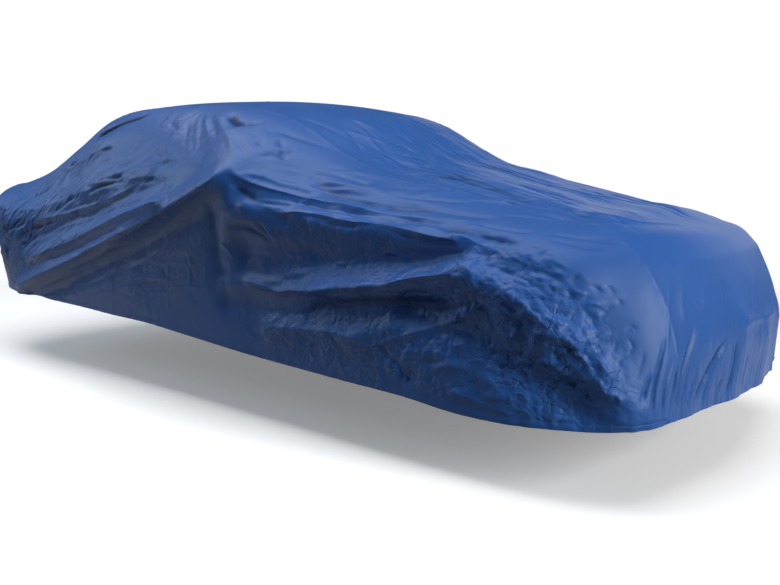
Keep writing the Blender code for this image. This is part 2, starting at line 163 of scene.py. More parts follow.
# Creases, placed one by one: each runs smoothly from its start over its middle to its end, in metres, as seen
# from the side (x, height), from above (x, y) or along X (y, height). How far it falls off above and below
# its line, its rise (or sink, negative) and the radius of its crest are in millimetres.
CREASE_COLUMNS = (
    "start_across", "start_up", "middle_across", "middle_up", "end_across", "end_up",
    "above", "below", "rise", "crest")
NEAR_CREASES = (
    # the long ridge that falls from the side peak toward the tail hem, and those beside it
    (0.56, 1.045, 0.35, 0.975, 0.09, 0.89, 30, 16, 22, 1),
    (0.11, 0.895, -0.28, 0.785, -0.70, 0.65, 28, 16, 20, 1),
    (-0.68, 0.655, -1.16, 0.515, -1.50, 0.42, 22, 16, 14, 1),
    (0.17, 0.925, -0.06, 0.85, -0.25, 0.80, 12, 8, -9, 2),
    (0.13, 0.90, -0.18, 0.80, -0.45, 0.715, 8, 12, 6, 1),
    (0.12, 0.935, -0.30, 0.855, -0.75, 0.73, 24, 11, 15, 1),
    (-0.75, 0.73, -1.04, 0.66, -1.28, 0.60, 20, 11, 12, 1),
    (-0.28, 0.81, -0.76, 0.68, -1.08, 0.60, 14, 18, -9, 3),
    (-0.04, 0.955, -0.52, 0.86, -1.03, 0.765, 18, 9, 11, 1),
    (-0.20, 0.995, -0.63, 0.905, -1.18, 0.815, 16, 8, 10, 1),
    (-0.54, 0.925, -0.73, 0.89, -0.95, 0.85, 12, 8, 6, 1),
    (-0.60, 0.60, -0.90, 0.53, -1.25, 0.44, 10, 12, 5, 2),
    (-0.35, 0.73, -0.62, 0.635, -0.85, 0.57, 6, 8, 5, 1),
    (-0.80, 0.80, -1.10, 0.72, -1.35, 0.66, 12, 10, 7, 2),
    (0.14, 1.005, -0.12, 0.965, -0.45, 0.905, 40, 40, 14, 12),
    # gashes on the rear quarter and below the roof's edge
    (-0.67, 0.97, -0.55, 1.00, -0.37, 1.025, 7, 10, -14, 1),
    (-0.64, 0.995, -0.54, 1.02, -0.35, 1.035, 10, 7, 9, 1),
    (-0.60, 1.02, -0.48, 1.04, -0.33, 1.05, 7, 9, -10, 1),
    (-0.43, 1.115, -0.38, 1.12, -0.31, 1.12, 5, 7, -9, 1),
    (-0.19, 1.10, -0.13, 1.095, -0.08, 1.10, 5, 6, -8, 1),
    (-0.04, 1.105, 0.03, 1.12, 0.11, 1.12, 5, 7, -9, 1),
    (-0.10, 1.025, -0.06, 1.035, -0.03, 1.04, 5, 6, -8, 1),
    (-0.12, 1.175, -0.03, 1.17, 0.02, 1.15, 5, 5, -6, 1),
    (-1.06, 1.11, -1.02, 1.12, -0.98, 1.13, 5, 7, -9, 1),
    (-0.68, 1.185, -0.61, 1.195, -0.55, 1.20, 5, 7, -8, 1),
    (-0.82, 1.27, -0.60, 1.33, -0.40, 1.37, 8, 18, -28, 1),
    (-0.65, 1.305, -0.51, 1.335, -0.40, 1.355, 8, 7, 8, 1),
    (-0.14, 1.31, -0.08, 1.29, -0.03, 1.27, 7, 7, -9, 1),
    (-0.10, 1.16, -0.07, 1.15, -0.03, 1.14, 7, 7, -9, 1),
    (-0.80, 1.19, -0.72, 1.215, -0.66, 1.23, 7, 7, -8, 1),
    # creases of the tail corner, which fall toward the tail hem
    (-1.52, 0.56, -1.36, 0.665, -1.20, 0.75, 8, 8, -6, 1),
    (-1.46, 0.55, -1.29, 0.655, -1.15, 0.73, 8, 8, 6, 1),
    (-1.23, 0.835, -1.22, 0.93, -1.14, 1.05, 8, 8, -6, 1),
    (-1.20, 0.835, -1.16, 0.915, -1.11, 0.97, 8, 8, 5, 1),
    (-1.60, 0.66, -1.42, 0.77, -1.29, 0.84, 8, 8, -6, 1),
    (-1.53, 0.655, -1.37, 0.765, -1.22, 0.835, 8, 8, 6, 1),
    (-1.54, 0.89, -1.52, 0.945, -1.46, 0.995, 8, 8, -6, 1),
    (-1.49, 0.855, -1.46, 0.90, -1.43, 0.94, 8, 8, 5, 1),
    (-1.66, 0.55, -1.60, 0.70, -1.52, 0.83, 9, 9, 7, 1),
    (-1.72, 0.50, -1.68, 0.66, -1.62, 0.80, 9, 9, -6, 1),
    (-1.40, 0.48, -1.28, 0.56, -1.14, 0.61, 8, 10, 6, 1),
    (-1.30, 0.70, -1.10, 0.80, -0.95, 0.90, 8, 8, -5, 1),
    # below the side peak, toward the tail
    (0.50, 0.98, 0.47, 0.82, 0.42, 0.64, 50, 50, 11, 20),
    (0.51, 0.98, 0.41, 0.94, 0.31, 0.885, 6, 6, 4, 1),
    (0.42, 0.93, 0.355, 0.895, 0.29, 0.865, 6, 6, 4, 1),
    (0.31, 0.895, 0.16, 0.82, 0.03, 0.75, 6, 6, 3, 2),
    (0.26, 0.915, 0.11, 0.845, -0.09, 0.765, 6, 6, -3, 2),
    (0.41, 0.84, 0.355, 0.81, 0.31, 0.77, 6, 6, 5, 1),
    (0.10, 0.75, 0.055, 0.735, 0.01, 0.715, 6, 6, 4, 1),
    (0.16, 0.745, 0.10, 0.715, 0.04, 0.685, 6, 6, 4, 1),
    (-0.53, 0.595, -0.42, 0.62, -0.31, 0.645, 6, 6, 4, 1),
    (-0.62, 0.435, -0.44, 0.49, -0.24, 0.535, 6, 6, 4, 1),
    (-0.24, 0.565, -0.12, 0.58, 0.02, 0.585, 14, 6, 9, 1),
    (-0.22, 0.59, -0.11, 0.635, 0.02, 0.68, 6, 6, 3, 1),
    # the squares of the packing, below the side peak
    (0.05, 0.68, 0.03, 0.60, 0.01, 0.52, 6, 6, 2.5, 1),
    (0.22, 0.705, 0.20, 0.63, 0.18, 0.55, 6, 6, 2.5, 1),
    (0.33, 0.72, 0.31, 0.65, 0.29, 0.57, 6, 6, 2.5, 1),
    (0.47, 0.70, 0.48, 0.64, 0.48, 0.58, 6, 6, 2.5, 1),
    (0.04, 0.665, 0.15, 0.665, 0.26, 0.69, 6, 6, 2.5, 1),
    (0.01, 0.535, 0.15, 0.555, 0.30, 0.57, 6, 6, 2.5, 1),
    (-0.20, 0.50, -0.05, 0.515, 0.12, 0.525, 6, 6, 2, 1),
    (-0.45, 0.46, -0.47, 0.55, -0.50, 0.63, 6, 6, 2, 1),
    # the edge that falls from the side peak toward the front, with the dark hollow below it
    (0.55, 1.05, 0.69, 1.005, 0.87, 0.97, 22, 9, 12, 1),
    (0.87, 0.97, 1.04, 0.945, 1.22, 0.92, 16, 8, 8, 1),
    (0.57, 1.04, 0.72, 1.045, 0.89, 1.025, 8, 8, 4, 1),
    (0.58, 1.01, 0.65, 0.975, 0.72, 0.945, 14, 14, -12, 3),
    (0.72, 0.945, 0.80, 0.935, 0.88, 0.93, 6, 10, -8, 1),
    (0.74, 0.93, 0.79, 0.92, 0.82, 0.90, 6, 8, 7, 1),
    (0.79, 0.93, 0.84, 0.915, 0.87, 0.90, 6, 8, 7, 1),
    (0.88, 0.945, 0.97, 0.935, 1.06, 0.915, 8, 8, -9, 1),
    (1.06, 0.915, 1.16, 0.905, 1.30, 0.905, 8, 8, -8, 1),
    (0.80, 0.905, 0.96, 0.90, 1.15, 0.875, 18, 7, 12, 1),
    (1.15, 0.875, 1.27, 0.868, 1.40, 0.855, 14, 7, 11, 1),
    (1.40, 0.852, 1.50, 0.838, 1.63, 0.828, 12, 7, 9, 1),
    (1.34, 0.845, 1.46, 0.828, 1.64, 0.817, 6, 8, -7, 1),
    (1.45, 0.875, 1.46, 0.84, 1.47, 0.81, 6, 6, 4, 1),
    (1.34, 0.865, 1.35, 0.83, 1.355, 0.795, 6, 6, 4, 1),
    (1.58, 0.87, 1.59, 0.845, 1.605, 0.82, 6, 6, 4, 1),
    # light marks in the hollow
    (0.54, 0.90, 0.66, 0.89, 0.73, 0.875, 14, 7, 12, 1),
    (0.73, 0.875, 0.765, 0.845, 0.775, 0.81, 8, 7, 9, 1),
    (0.72, 0.87, 0.74, 0.84, 0.76, 0.805, 6, 6, -6, 1),
    (0.79, 0.85, 0.85, 0.847, 0.90, 0.835, 7, 6, 7, 1),
    (0.96, 0.88, 0.985, 0.86, 0.975, 0.835, 6, 6, 7, 1),
    (0.53, 0.85, 0.65, 0.838, 0.76, 0.79, 14, 10, -9, 4),
    (0.43, 0.765, 0.475, 0.755, 0.50, 0.71, 7, 6, 9, 1),
    (0.61, 0.735, 0.69, 0.745, 0.755, 0.74, 14, 8, 7, 3),
    (0.57, 0.68, 0.64, 0.697, 0.71, 0.67, 14, 8, 7, 3),
    (0.82, 0.738, 0.86, 0.74, 0.90, 0.739, 7, 6, 5, 1),
    (0.91, 0.714, 0.94, 0.722, 0.97, 0.728, 7, 6, 5, 1),
    (1.07, 0.714, 1.13, 0.728, 1.19, 0.743, 6, 6, 5, 1),
    (0.84, 0.668, 0.95, 0.679, 1.06, 0.684, 6, 6, 4, 1),
    (0.78, 0.613, 0.85, 0.611, 0.92, 0.611, 6, 6, 4, 1),
    (1.30, 0.775, 1.33, 0.785, 1.36, 0.78, 6, 6, 7, 1),
    # the long edge above the hem's hollow, which runs into the front corner's edge
    (0.56, 0.617, 0.65, 0.613, 0.73, 0.596, 12, 6, 9, 1),
    (0.73, 0.596, 0.80, 0.598, 0.87, 0.605, 8, 6, 6, 1),
    (0.87, 0.605, 1.10, 0.633, 1.32, 0.659, 18, 6, 14, 1),
    (1.32, 0.659, 1.43, 0.689, 1.64, 0.722, 16, 7, 14, 1),
    (1.41, 0.705, 1.53, 0.745, 1.75, 0.765, 14, 7, 9, 1),
    (1.46, 0.715, 1.50, 0.732, 1.56, 0.73, 6, 6, -6, 1),
    (1.50, 0.754, 1.57, 0.778, 1.67, 0.79, 9, 6, 9, 1),
    (1.56, 0.755, 1.66, 0.767, 1.78, 0.78, 6, 7, -7, 1),
    (1.68, 0.78, 1.72, 0.793, 1.77, 0.80, 6, 9, -7, 1),
    (1.63, 0.717, 1.68, 0.715, 1.73, 0.693, 14, 18, 9, 2),
    (1.73, 0.693, 1.79, 0.655, 1.85, 0.605, 12, 18, 11, 2),
    (1.88, 0.616, 1.92, 0.57, 1.97, 0.557, 9, 14, 12, 1),
    (1.97, 0.557, 2.01, 0.55, 2.05, 0.512, 9, 14, 12, 1),
    (2.05, 0.515, 2.10, 0.44, 2.15, 0.362, 9, 14, 12, 1),
    (1.59, 0.642, 1.66, 0.66, 1.73, 0.69, 8, 6, 8, 1),
    (1.66, 0.72, 1.88, 0.655, 2.10, 0.50, 70, 20, 7, 6),
    # the hollow above the hem and below the edge
    (0.90, 0.534, 1.20, 0.585, 1.61, 0.62, 18, 18, -10, 6),
    (1.39, 0.482, 1.54, 0.53, 1.73, 0.622, 16, 7, 10, 2),
    (1.33, 0.458, 1.39, 0.48, 1.45, 0.494, 6, 6, 6, 1),
    (1.51, 0.583, 1.63, 0.615, 1.73, 0.648, 10, 10, -8, 3),
    (0.75, 0.439, 0.98, 0.457, 1.24, 0.455, 20, 10, 9, 3),
    (0.75, 0.439, 0.85, 0.395, 0.99, 0.384, 6, 6, 5, 1),
    (1.14, 0.425, 1.22, 0.42, 1.36, 0.469, 6, 6, 7, 1),
    (1.16, 0.391, 1.23, 0.393, 1.29, 0.394, 6, 6, 7, 1),
    (0.67, 0.408, 0.72, 0.437, 0.76, 0.445, 6, 6, 5, 1),
    (0.69, 0.394, 0.71, 0.386, 0.73, 0.377, 6, 6, 5, 1),
    (0.55, 0.407, 0.59, 0.385, 0.63, 0.372, 6, 6, 4, 1),
    (1.43, 0.449, 1.47, 0.439, 1.50, 0.435, 6, 6, 6, 1),
    (1.34, 0.429, 1.37, 0.42, 1.39, 0.412, 6, 6, 5, 1),
    (1.32, 0.382, 1.38, 0.37, 1.40, 0.333, 6, 6, 5, 1),
    (1.34, 0.404, 1.40, 0.378, 1.41, 0.322, 6, 6, -5, 1),
    # star shaped marks where the cloth was folded
    (1.55, 0.456, 1.57, 0.447, 1.60, 0.433, 5, 5, 6, 1),
    (1.59, 0.47, 1.575, 0.455, 1.56, 0.442, 5, 5, 5, 1),
    (1.63, 0.49, 1.65, 0.48, 1.67, 0.468, 5, 5, 6, 1),
    (1.68, 0.50, 1.66, 0.49, 1.64, 0.479, 5, 5, 5, 1),
    (1.62, 0.48, 1.62, 0.46, 1.615, 0.436, 5, 5, 5, 1),
    (1.54, 0.381, 1.62, 0.413, 1.69, 0.406, 8, 6, 8, 1),
    (1.75, 0.479, 1.78, 0.485, 1.81, 0.494, 7, 6, 9, 1),
    (1.77, 0.438, 1.785, 0.452, 1.80, 0.468, 5, 5, 7, 1),
    (1.785, 0.469, 1.795, 0.455, 1.81, 0.44, 5, 5, 7, 1),
    (1.81, 0.554, 1.84, 0.543, 1.87, 0.537, 8, 6, 10, 1),
    (1.85, 0.551, 1.86, 0.536, 1.87, 0.522, 5, 5, 6, 1),
    (1.635, 0.603, 1.64, 0.59, 1.65, 0.574, 5, 5, 4, 1),
    (1.67, 0.619, 1.675, 0.60, 1.685, 0.584, 5, 5, 4, 1),
    (1.705, 0.628, 1.71, 0.615, 1.72, 0.601, 5, 5, 4, 1),
    # squares of the packing beside the front corner's hem
    (1.755, 0.36, 1.785, 0.375, 1.81, 0.35, 5, 5, 4, 1),
    (1.81, 0.35, 1.79, 0.325, 1.765, 0.325, 5, 5, 4, 1),
    (1.765, 0.325, 1.755, 0.34, 1.755, 0.36, 5, 5, 4, 1),
    (1.85, 0.345, 1.88, 0.355, 1.91, 0.325, 5, 5, 4, 1),
    (1.91, 0.325, 1.89, 0.30, 1.86, 0.305, 5, 5, 4, 1),
    (1.86, 0.305, 1.85, 0.325, 1.85, 0.345, 5, 5, 4, 1),
    (1.93, 0.30, 1.955, 0.33, 1.97, 0.345, 5, 5, 4, 1),
    (1.97, 0.345, 1.98, 0.315, 1.98, 0.29, 5, 5, -4, 1),
    (1.57, 0.325, 1.66, 0.318, 1.80, 0.29, 10, 6, 8, 1),
    (1.80, 0.29, 1.83, 0.285, 1.86, 0.28, 8, 6, 6, 1),
    (1.94, 0.295, 2.06, 0.28, 2.19, 0.275, 10, 7, 7, 1),
    # hard facets of the crumpled front corner
    (1.91, 0.52, 1.94, 0.54, 1.965, 0.515, 12, 12, 12, 2),
    (1.94, 0.482, 1.97, 0.469, 2.00, 0.478, 10, 10, 11, 2),
    (1.98, 0.517, 2.01, 0.52, 2.03, 0.498, 10, 10, -11, 2),
    (1.96, 0.448, 1.99, 0.436, 2.03, 0.448, 10, 10, 11, 2),
    (1.87, 0.584, 1.905, 0.574, 1.93, 0.55, 12, 12, -11, 2),
    (1.95, 0.61, 1.98, 0.603, 2.01, 0.59, 10, 10, 11, 2),
    (2.02, 0.583, 2.04, 0.552, 2.07, 0.537, 10, 10, 11, 2),
    (1.975, 0.628, 2.01, 0.616, 2.025, 0.597, 10, 10, -11, 2),
    (2.095, 0.50, 2.115, 0.47, 2.135, 0.44, 10, 10, 11, 2),
    (2.075, 0.50, 2.095, 0.457, 2.115, 0.415, 10, 10, -11, 2),
    (2.13, 0.392, 2.16, 0.381, 2.175, 0.356, 9, 9, 10, 2),
    (2.06, 0.36, 2.09, 0.348, 2.13, 0.34, 9, 9, 9, 2),
    (1.89, 0.652, 1.905, 0.63, 1.885, 0.616, 9, 9, 10, 2),
    (1.815, 0.649, 1.85, 0.632, 1.875, 0.62, 6, 6, -9, 1),
    (1.90, 0.632, 1.92, 0.628, 1.935, 0.624, 6, 6, -8, 1),
    (1.90, 0.605, 1.92, 0.596, 1.935, 0.586, 6, 6, -8, 1),
    (1.80, 0.677, 1.83, 0.66, 1.86, 0.647, 6, 6, 8, 1),
    # the fold beside the roof's front edge, and the creases that fan out below it
    (0.26, 1.325, 0.345, 1.29, 0.43, 1.27, 8, 16, -26, 1),
    (0.42, 1.28, 0.45, 1.277, 0.48, 1.28, 7, 7, -11, 1),
    (0.07, 1.35, 0.17, 1.28, 0.29, 1.20, 8, 8, 6, 1),
    (0.18, 1.30, 0.26, 1.26, 0.33, 1.22, 8, 8, -10, 1),
    (0.13, 1.345, 0.30, 1.27, 0.55, 1.135, 8, 8, 6, 1),
    (0.43, 1.21, 0.51, 1.165, 0.57, 1.13, 7, 7, -8, 1),
    (0.19, 1.335, 0.35, 1.27, 0.46, 1.21, 8, 8, 6, 1),
    (0.04, 1.335, 0.12, 1.26, 0.21, 1.175, 8, 8, 6, 1),
    (-0.02, 1.33, 0.05, 1.26, 0.12, 1.18, 8, 8, -6, 1),
    (0.57, 1.245, 0.67, 1.215, 0.80, 1.17, 6, 7, -9, 1),
    (0.66, 1.155, 0.69, 1.135, 0.72, 1.115, 6, 7, -10, 1),
    (0.62, 1.21, 0.645, 1.185, 0.67, 1.165, 6, 7, -9, 1),
    (0.62, 1.12, 0.65, 1.135, 0.685, 1.135, 6, 7, -10, 1),
    (0.70, 1.145, 0.71, 1.147, 0.72, 1.15, 6, 6, -8, 1),
    (0.56, 1.19, 0.575, 1.18, 0.59, 1.17, 6, 6, -8, 1),
    # dark dashes along the side, between the peak's edge and the seam
    (0.82, 1.07, 0.93, 1.06, 1.04, 1.035, 6, 8, -8, 1),
    (0.83, 1.055, 0.87, 1.045, 0.93, 1.03, 6, 8, -9, 1),
    (0.88, 1.025, 0.95, 1.015, 1.04, 1.008, 5, 6, -8, 1),
    (0.91, 1.007, 0.99, 0.995, 1.07, 0.988, 5, 6, -8, 1),
    (1.03, 1.04, 1.065, 1.03, 1.10, 1.022, 6, 8, -9, 1),
    (0.90, 0.99, 1.08, 0.965, 1.23, 0.945, 6, 9, -12, 1),
    (1.23, 0.945, 1.32, 0.932, 1.42, 0.93, 6, 8, -10, 1),
    (1.36, 0.94, 1.51, 0.922, 1.69, 0.907, 6, 10, -10, 1),
    (1.03, 0.945, 1.25, 0.915, 1.63, 0.895, 12, 8, 7, 1),
    (1.32, 0.90, 1.39, 0.895, 1.46, 0.893, 7, 8, -8, 1),
    (1.52, 0.865, 1.67, 0.852, 1.82, 0.83, 6, 9, -14, 1),
    (1.56, 0.845, 1.64, 0.838, 1.72, 0.816, 6, 6, 9, 1),
    (1.40, 0.88, 1.55, 0.87, 1.70, 0.86, 6, 6, -6, 1),
    (1.60, 0.885, 1.70, 0.875, 1.80, 0.86, 6, 6, 5, 1),
    # scratch like marks on the smooth cloth of the front corner
    (1.86, 0.825, 1.88, 0.818, 1.90, 0.812, 4, 4, -3.5, 0.5),
    (1.93, 0.80, 1.935, 0.797, 1.94, 0.793, 4, 4, -3.5, 0.5),
    (1.955, 0.772, 1.97, 0.765, 1.985, 0.755, 4, 4, -2.5, 0.5),
    (1.885, 0.755, 1.905, 0.745, 1.92, 0.732, 4, 4, -3, 0.5),
    (1.77, 0.73, 1.775, 0.723, 1.785, 0.715, 4, 4, -3, 0.5),
    (2.06, 0.712, 2.08, 0.70, 2.095, 0.692, 4, 4, -3.5, 0.5),
    (2.07, 0.714, 2.08, 0.70, 2.082, 0.686, 4, 4, -3.5, 0.5),
    (2.095, 0.714, 2.11, 0.70, 2.118, 0.685, 4, 4, -4, 0.5),
    (2.10, 0.62, 2.11, 0.64, 2.12, 0.653, 4, 4, -3.5, 0.5),
    (2.13, 0.67, 2.135, 0.663, 2.14, 0.655, 4, 4, -3.5, 0.5),
    (2.09, 0.57, 2.09, 0.558, 2.092, 0.545, 4, 4, -4, 0.5),
    (2.165, 0.573, 2.177, 0.588, 2.187, 0.58, 4, 4, -3.5, 0.5),
    (2.14, 0.51, 2.143, 0.527, 2.145, 0.543, 4, 4, -3.5, 0.5),
    (2.18, 0.50, 2.187, 0.525, 2.175, 0.552, 4, 4, -3.5, 0.5),
    (2.205, 0.43, 2.212, 0.47, 2.216, 0.518, 4, 4, -3.5, 0.5),
    (2.15, 0.44, 2.16, 0.48, 2.175, 0.51, 4, 4, -3, 0.5),
    (2.04, 0.66, 2.06, 0.63, 2.075, 0.61, 4, 4, -3, 0.5),
    (2.00, 0.70, 2.02, 0.68, 2.03, 0.65, 4, 4, -2.5, 0.5),
)
TOP_CREASES = (
    (1.28, -0.74, 1.41, -0.71, 1.54, -0.67, 7, 8, -7, 1),
    (1.49, -0.60, 1.66, -0.53, 1.82, -0.38, 7, 7, -6, 1),
    (1.51, -0.65, 1.69, -0.58, 1.87, -0.51, 7, 7, 6, 1),
    (1.81, -0.62, 1.95, -0.59, 2.06, -0.44, 7, 7, -5, 1),
    (1.83, -0.53, 2.00, -0.46, 2.14, -0.16, 7, 7, 5, 1),
    (1.68, -0.70, 1.78, -0.66, 1.88, -0.635, 6, 6, -6, 1),
    (1.88, -0.735, 1.99, -0.69, 2.11, -0.60, 6, 6, -6, 1),
    (1.91, -0.755, 2.01, -0.72, 2.09, -0.65, 6, 6, -6, 1),
    (1.63, -0.78, 1.73, -0.77, 1.83, -0.75, 6, 6, -6, 1),
    (1.34, -0.82, 1.45, -0.82, 1.55, -0.81, 6, 6, -6, 1),
    (0.71, -0.39, 0.77, -0.37, 0.83, -0.35, 7, 7, 5, 1),
    (0.57, -0.56, 0.68, -0.535, 0.79, -0.51, 7, 7, -5, 1),
    (0.74, -0.48, 0.82, -0.44, 0.91, -0.39, 7, 7, 5, 1),
    (0.99, -0.44, 1.11, -0.36, 1.23, -0.28, 7, 7, -5, 1),
    (1.06, -0.57, 1.22, -0.51, 1.39, -0.45, 7, 7, -5, 1),
    (1.05, -0.46, 1.17, -0.405, 1.31, -0.395, 7, 7, 5, 1),
    (1.01, -0.11, 1.07, -0.08, 1.12, -0.04, 7, 7, 5, 1),
    (0.55, -0.20, 0.70, -0.10, 0.90, -0.02, 8, 8, -4, 1),
    (0.60, 0.15, 0.80, 0.20, 1.00, 0.22, 8, 8, 4, 1),
)
FRONT_CREASES = (
    # the rounded upper edge of the front end
    (-0.53, 0.76, -0.20, 0.786, 0.46, 0.788, 20, 30, 6, 10),
    # pleats that rise from the hem
    (-0.73, 0.36, -0.715, 0.40, -0.70, 0.44, 5, 5, -10, 0.5),
    (-0.705, 0.295, -0.695, 0.40, -0.64, 0.545, 4, 4, -10, 0.5),
    (-0.67, 0.30, -0.66, 0.40, -0.625, 0.48, 4, 4, -9, 0.5),
    (-0.64, 0.29, -0.62, 0.385, -0.595, 0.48, 4, 4, -9, 0.5),
    (-0.60, 0.295, -0.58, 0.43, -0.51, 0.57, 5, 5, -12, 0.5),
    (-0.57, 0.295, -0.555, 0.39, -0.525, 0.48, 4, 4, -9, 0.5),
    (-0.54, 0.295, -0.525, 0.36, -0.505, 0.43, 4, 4, -8, 0.5),
    (-0.51, 0.32, -0.43, 0.41, -0.31, 0.52, 7, 7, -16, 0.5),
    (-0.46, 0.33, -0.39, 0.42, -0.29, 0.50, 6, 6, 6, 0.5),
    (-0.44, 0.285, -0.40, 0.38, -0.35, 0.475, 6, 6, -14, 0.5),
    (-0.35, 0.30, -0.335, 0.34, -0.31, 0.38, 5, 5, -10, 0.5),
    (-0.28, 0.29, -0.25, 0.38, -0.24, 0.50, 7, 7, -14, 0.5),
    (-0.17, 0.29, -0.15, 0.38, -0.13, 0.46, 6, 6, -7, 0.5),
    # faint upright creases of the packing
    (-0.54, 0.725, -0.60, 0.63, -0.645, 0.505, 7, 7, 4, 1),
    (-0.49, 0.72, -0.53, 0.65, -0.545, 0.59, 7, 7, 4, 1),
    (-0.37, 0.735, -0.405, 0.67, -0.45, 0.60, 7, 7, 4, 1),
    (-0.255, 0.72, -0.29, 0.645, -0.32, 0.545, 7, 7, -4, 1),
    (-0.05, 0.72, -0.12, 0.64, -0.17, 0.565, 7, 7, 4, 1),
    (0.045, 0.715, -0.03, 0.63, -0.10, 0.555, 7, 7, 4, 1),
    (-0.47, 0.65, -0.44, 0.63, -0.41, 0.66, 6, 6, 5, 1),
    (-0.435, 0.738, -0.42, 0.742, -0.405, 0.747, 6, 6, -5, 1),
    # the edge of the hollow below
    (-0.225, 0.545, -0.10, 0.553, 0.03, 0.547, 18, 12, 9, 3),
    (0.03, 0.547, 0.16, 0.546, 0.29, 0.544, 18, 12, 9, 3),
)
CREASES = {"near": NEAR_CREASES, "top": TOP_CREASES, "front": FRONT_CREASES}

# Families of streaks, the thin creases of cloth drawn tight: they run along a line from start to end, spread
# to each side of it, and each takes a share of its length. Widths and rises in millimetres.
STREAK_COLUMNS = (
    "view", "start_across", "start_up", "end_across", "end_up", "bow", "spread", "count",
    "shortest", "longest", "width", "rise", "seed")
STREAKS = (
    ("near", 0.35, 1.020, -1.55, 0.480, -0.010, 0.050, 18, 0.05, 0.30, 7, 4.0, 11),
    ("near", 0.10, 1.120, -1.60, 0.700, 0.030, 0.120, 50, 0.04, 0.25, 8, 5.0, 12),
    ("near", -0.55, 1.250, -1.75, 0.850, -0.020, 0.100, 30, 0.05, 0.25, 8, 4.0, 13),
    ("near", 0.10, 0.800, -1.20, 0.430, -0.020, 0.080, 14, 0.06, 0.30, 8, 3.0, 14),
    ("near", -1.25, 0.950, -1.85, 0.560, 0.020, 0.160, 46, 0.12, 0.45, 8, 5.0, 30),
    ("near", 0.60, 1.040, 1.50, 0.930, -0.020, 0.050, 26, 0.10, 0.40, 7, 4.0, 15),
    ("near", 0.60, 1.120, 1.55, 0.980, -0.030, 0.050, 24, 0.10, 0.40, 7, 3.5, 16),
    ("near", 0.90, 0.890, 1.75, 0.850, 0.000, 0.025, 20, 0.08, 0.30, 7, 4.5, 17),
    ("near", 0.45, 0.620, 1.70, 0.735, -0.040, 0.030, 16, 0.06, 0.30, 7, 4.0, 18),
    ("near", 0.30, 1.360, 0.70, 1.080, 0.020, 0.100, 10, 0.20, 0.60, 8, 2.5, 19),
    ("near", 1.60, 0.760, 2.15, 0.420, 0.060, 0.060, 16, 0.10, 0.40, 7, 5.0, 20),
    ("near", 1.55, 0.840, 2.00, 0.700, 0.020, 0.050, 34, 0.05, 0.25, 6, 3.5, 31),
    ("top", 0.70, -0.35, 2.10, -0.48, 0.020, 0.180, 52, 0.08, 0.40, 8, 4.0, 21),
    ("top", 0.70, 0.10, 2.10, 0.05, 0.000, 0.240, 44, 0.08, 0.35, 8, 3.5, 22),
    ("top", 0.80, 0.45, 2.05, 0.42, 0.000, 0.120, 20, 0.10, 0.40, 9, 3.5, 23),
    ("top", -0.75, -0.25, -1.95, -0.30, 0.000, 0.300, 36, 0.10, 0.40, 10, 3.5, 24),
    ("top", -0.75, 0.30, -1.95, 0.30, 0.000, 0.250, 26, 0.10, 0.40, 10, 3.5, 25),
    ("far", 0.40, 1.020, -1.55, 0.480, -0.010, 0.090, 22, 0.10, 0.45, 12, 5.0, 26),
    ("far", 0.10, 1.120, -1.60, 0.750, 0.030, 0.140, 30, 0.08, 0.40, 11, 4.5, 27),
    ("far", 0.60, 1.000, 1.90, 0.860, -0.020, 0.090, 30, 0.10, 0.45, 10, 4.5, 28),
    ("far", 0.45, 0.660, 1.90, 0.600, -0.040, 0.130, 22, 0.10, 0.40, 12, 4.5, 29),
)

# Zones of short creases in every direction, where the cloth is slack. Length in metres, width and rise in
# millimetres.
CRINKLE_COLUMNS = (
    "view", "middle_across", "middle_up", "half_across", "half_up", "count",
    "length", "width", "rise", "seed")
CRINKLES = (
    ("near", 1.97, 0.560, 0.15, 0.200, 90, 0.045, 6, 5.0, 41),
    ("near", 1.60, 0.400, 0.40, 0.120, 110, 0.040, 6, 4.0, 42),
    ("near", 1.80, 0.760, 0.20, 0.080, 70, 0.035, 6, 3.5, 52),
    ("near", 0.90, 0.480, 0.50, 0.150, 30, 0.050, 7, 2.5, 43),
    ("near", -0.40, 0.550, 0.80, 0.170, 40, 0.050, 7, 2.0, 44),
    ("near", -1.20, 0.900, 0.45, 0.250, 80, 0.060, 7, 3.5, 45),
    ("near", 0.10, 1.200, 0.50, 0.130, 24, 0.040, 7, 2.5, 46),
    ("near", 1.00, 1.020, 0.45, 0.080, 30, 0.045, 7, 3.5, 47),
    ("far", 0.00, 0.700, 2.00, 0.400, 220, 0.070, 9, 2.5, 48),
    ("top", 0.00, 0.000, 2.00, 0.550, 90, 0.070, 9, 2.0, 49),
    ("front", 0.00, 0.450, 0.60, 0.200, 40, 0.050, 8, 2.0, 50),
    ("rear", 0.00, 0.700, 0.60, 0.250, 60, 0.060, 9, 2.5, 51),
)

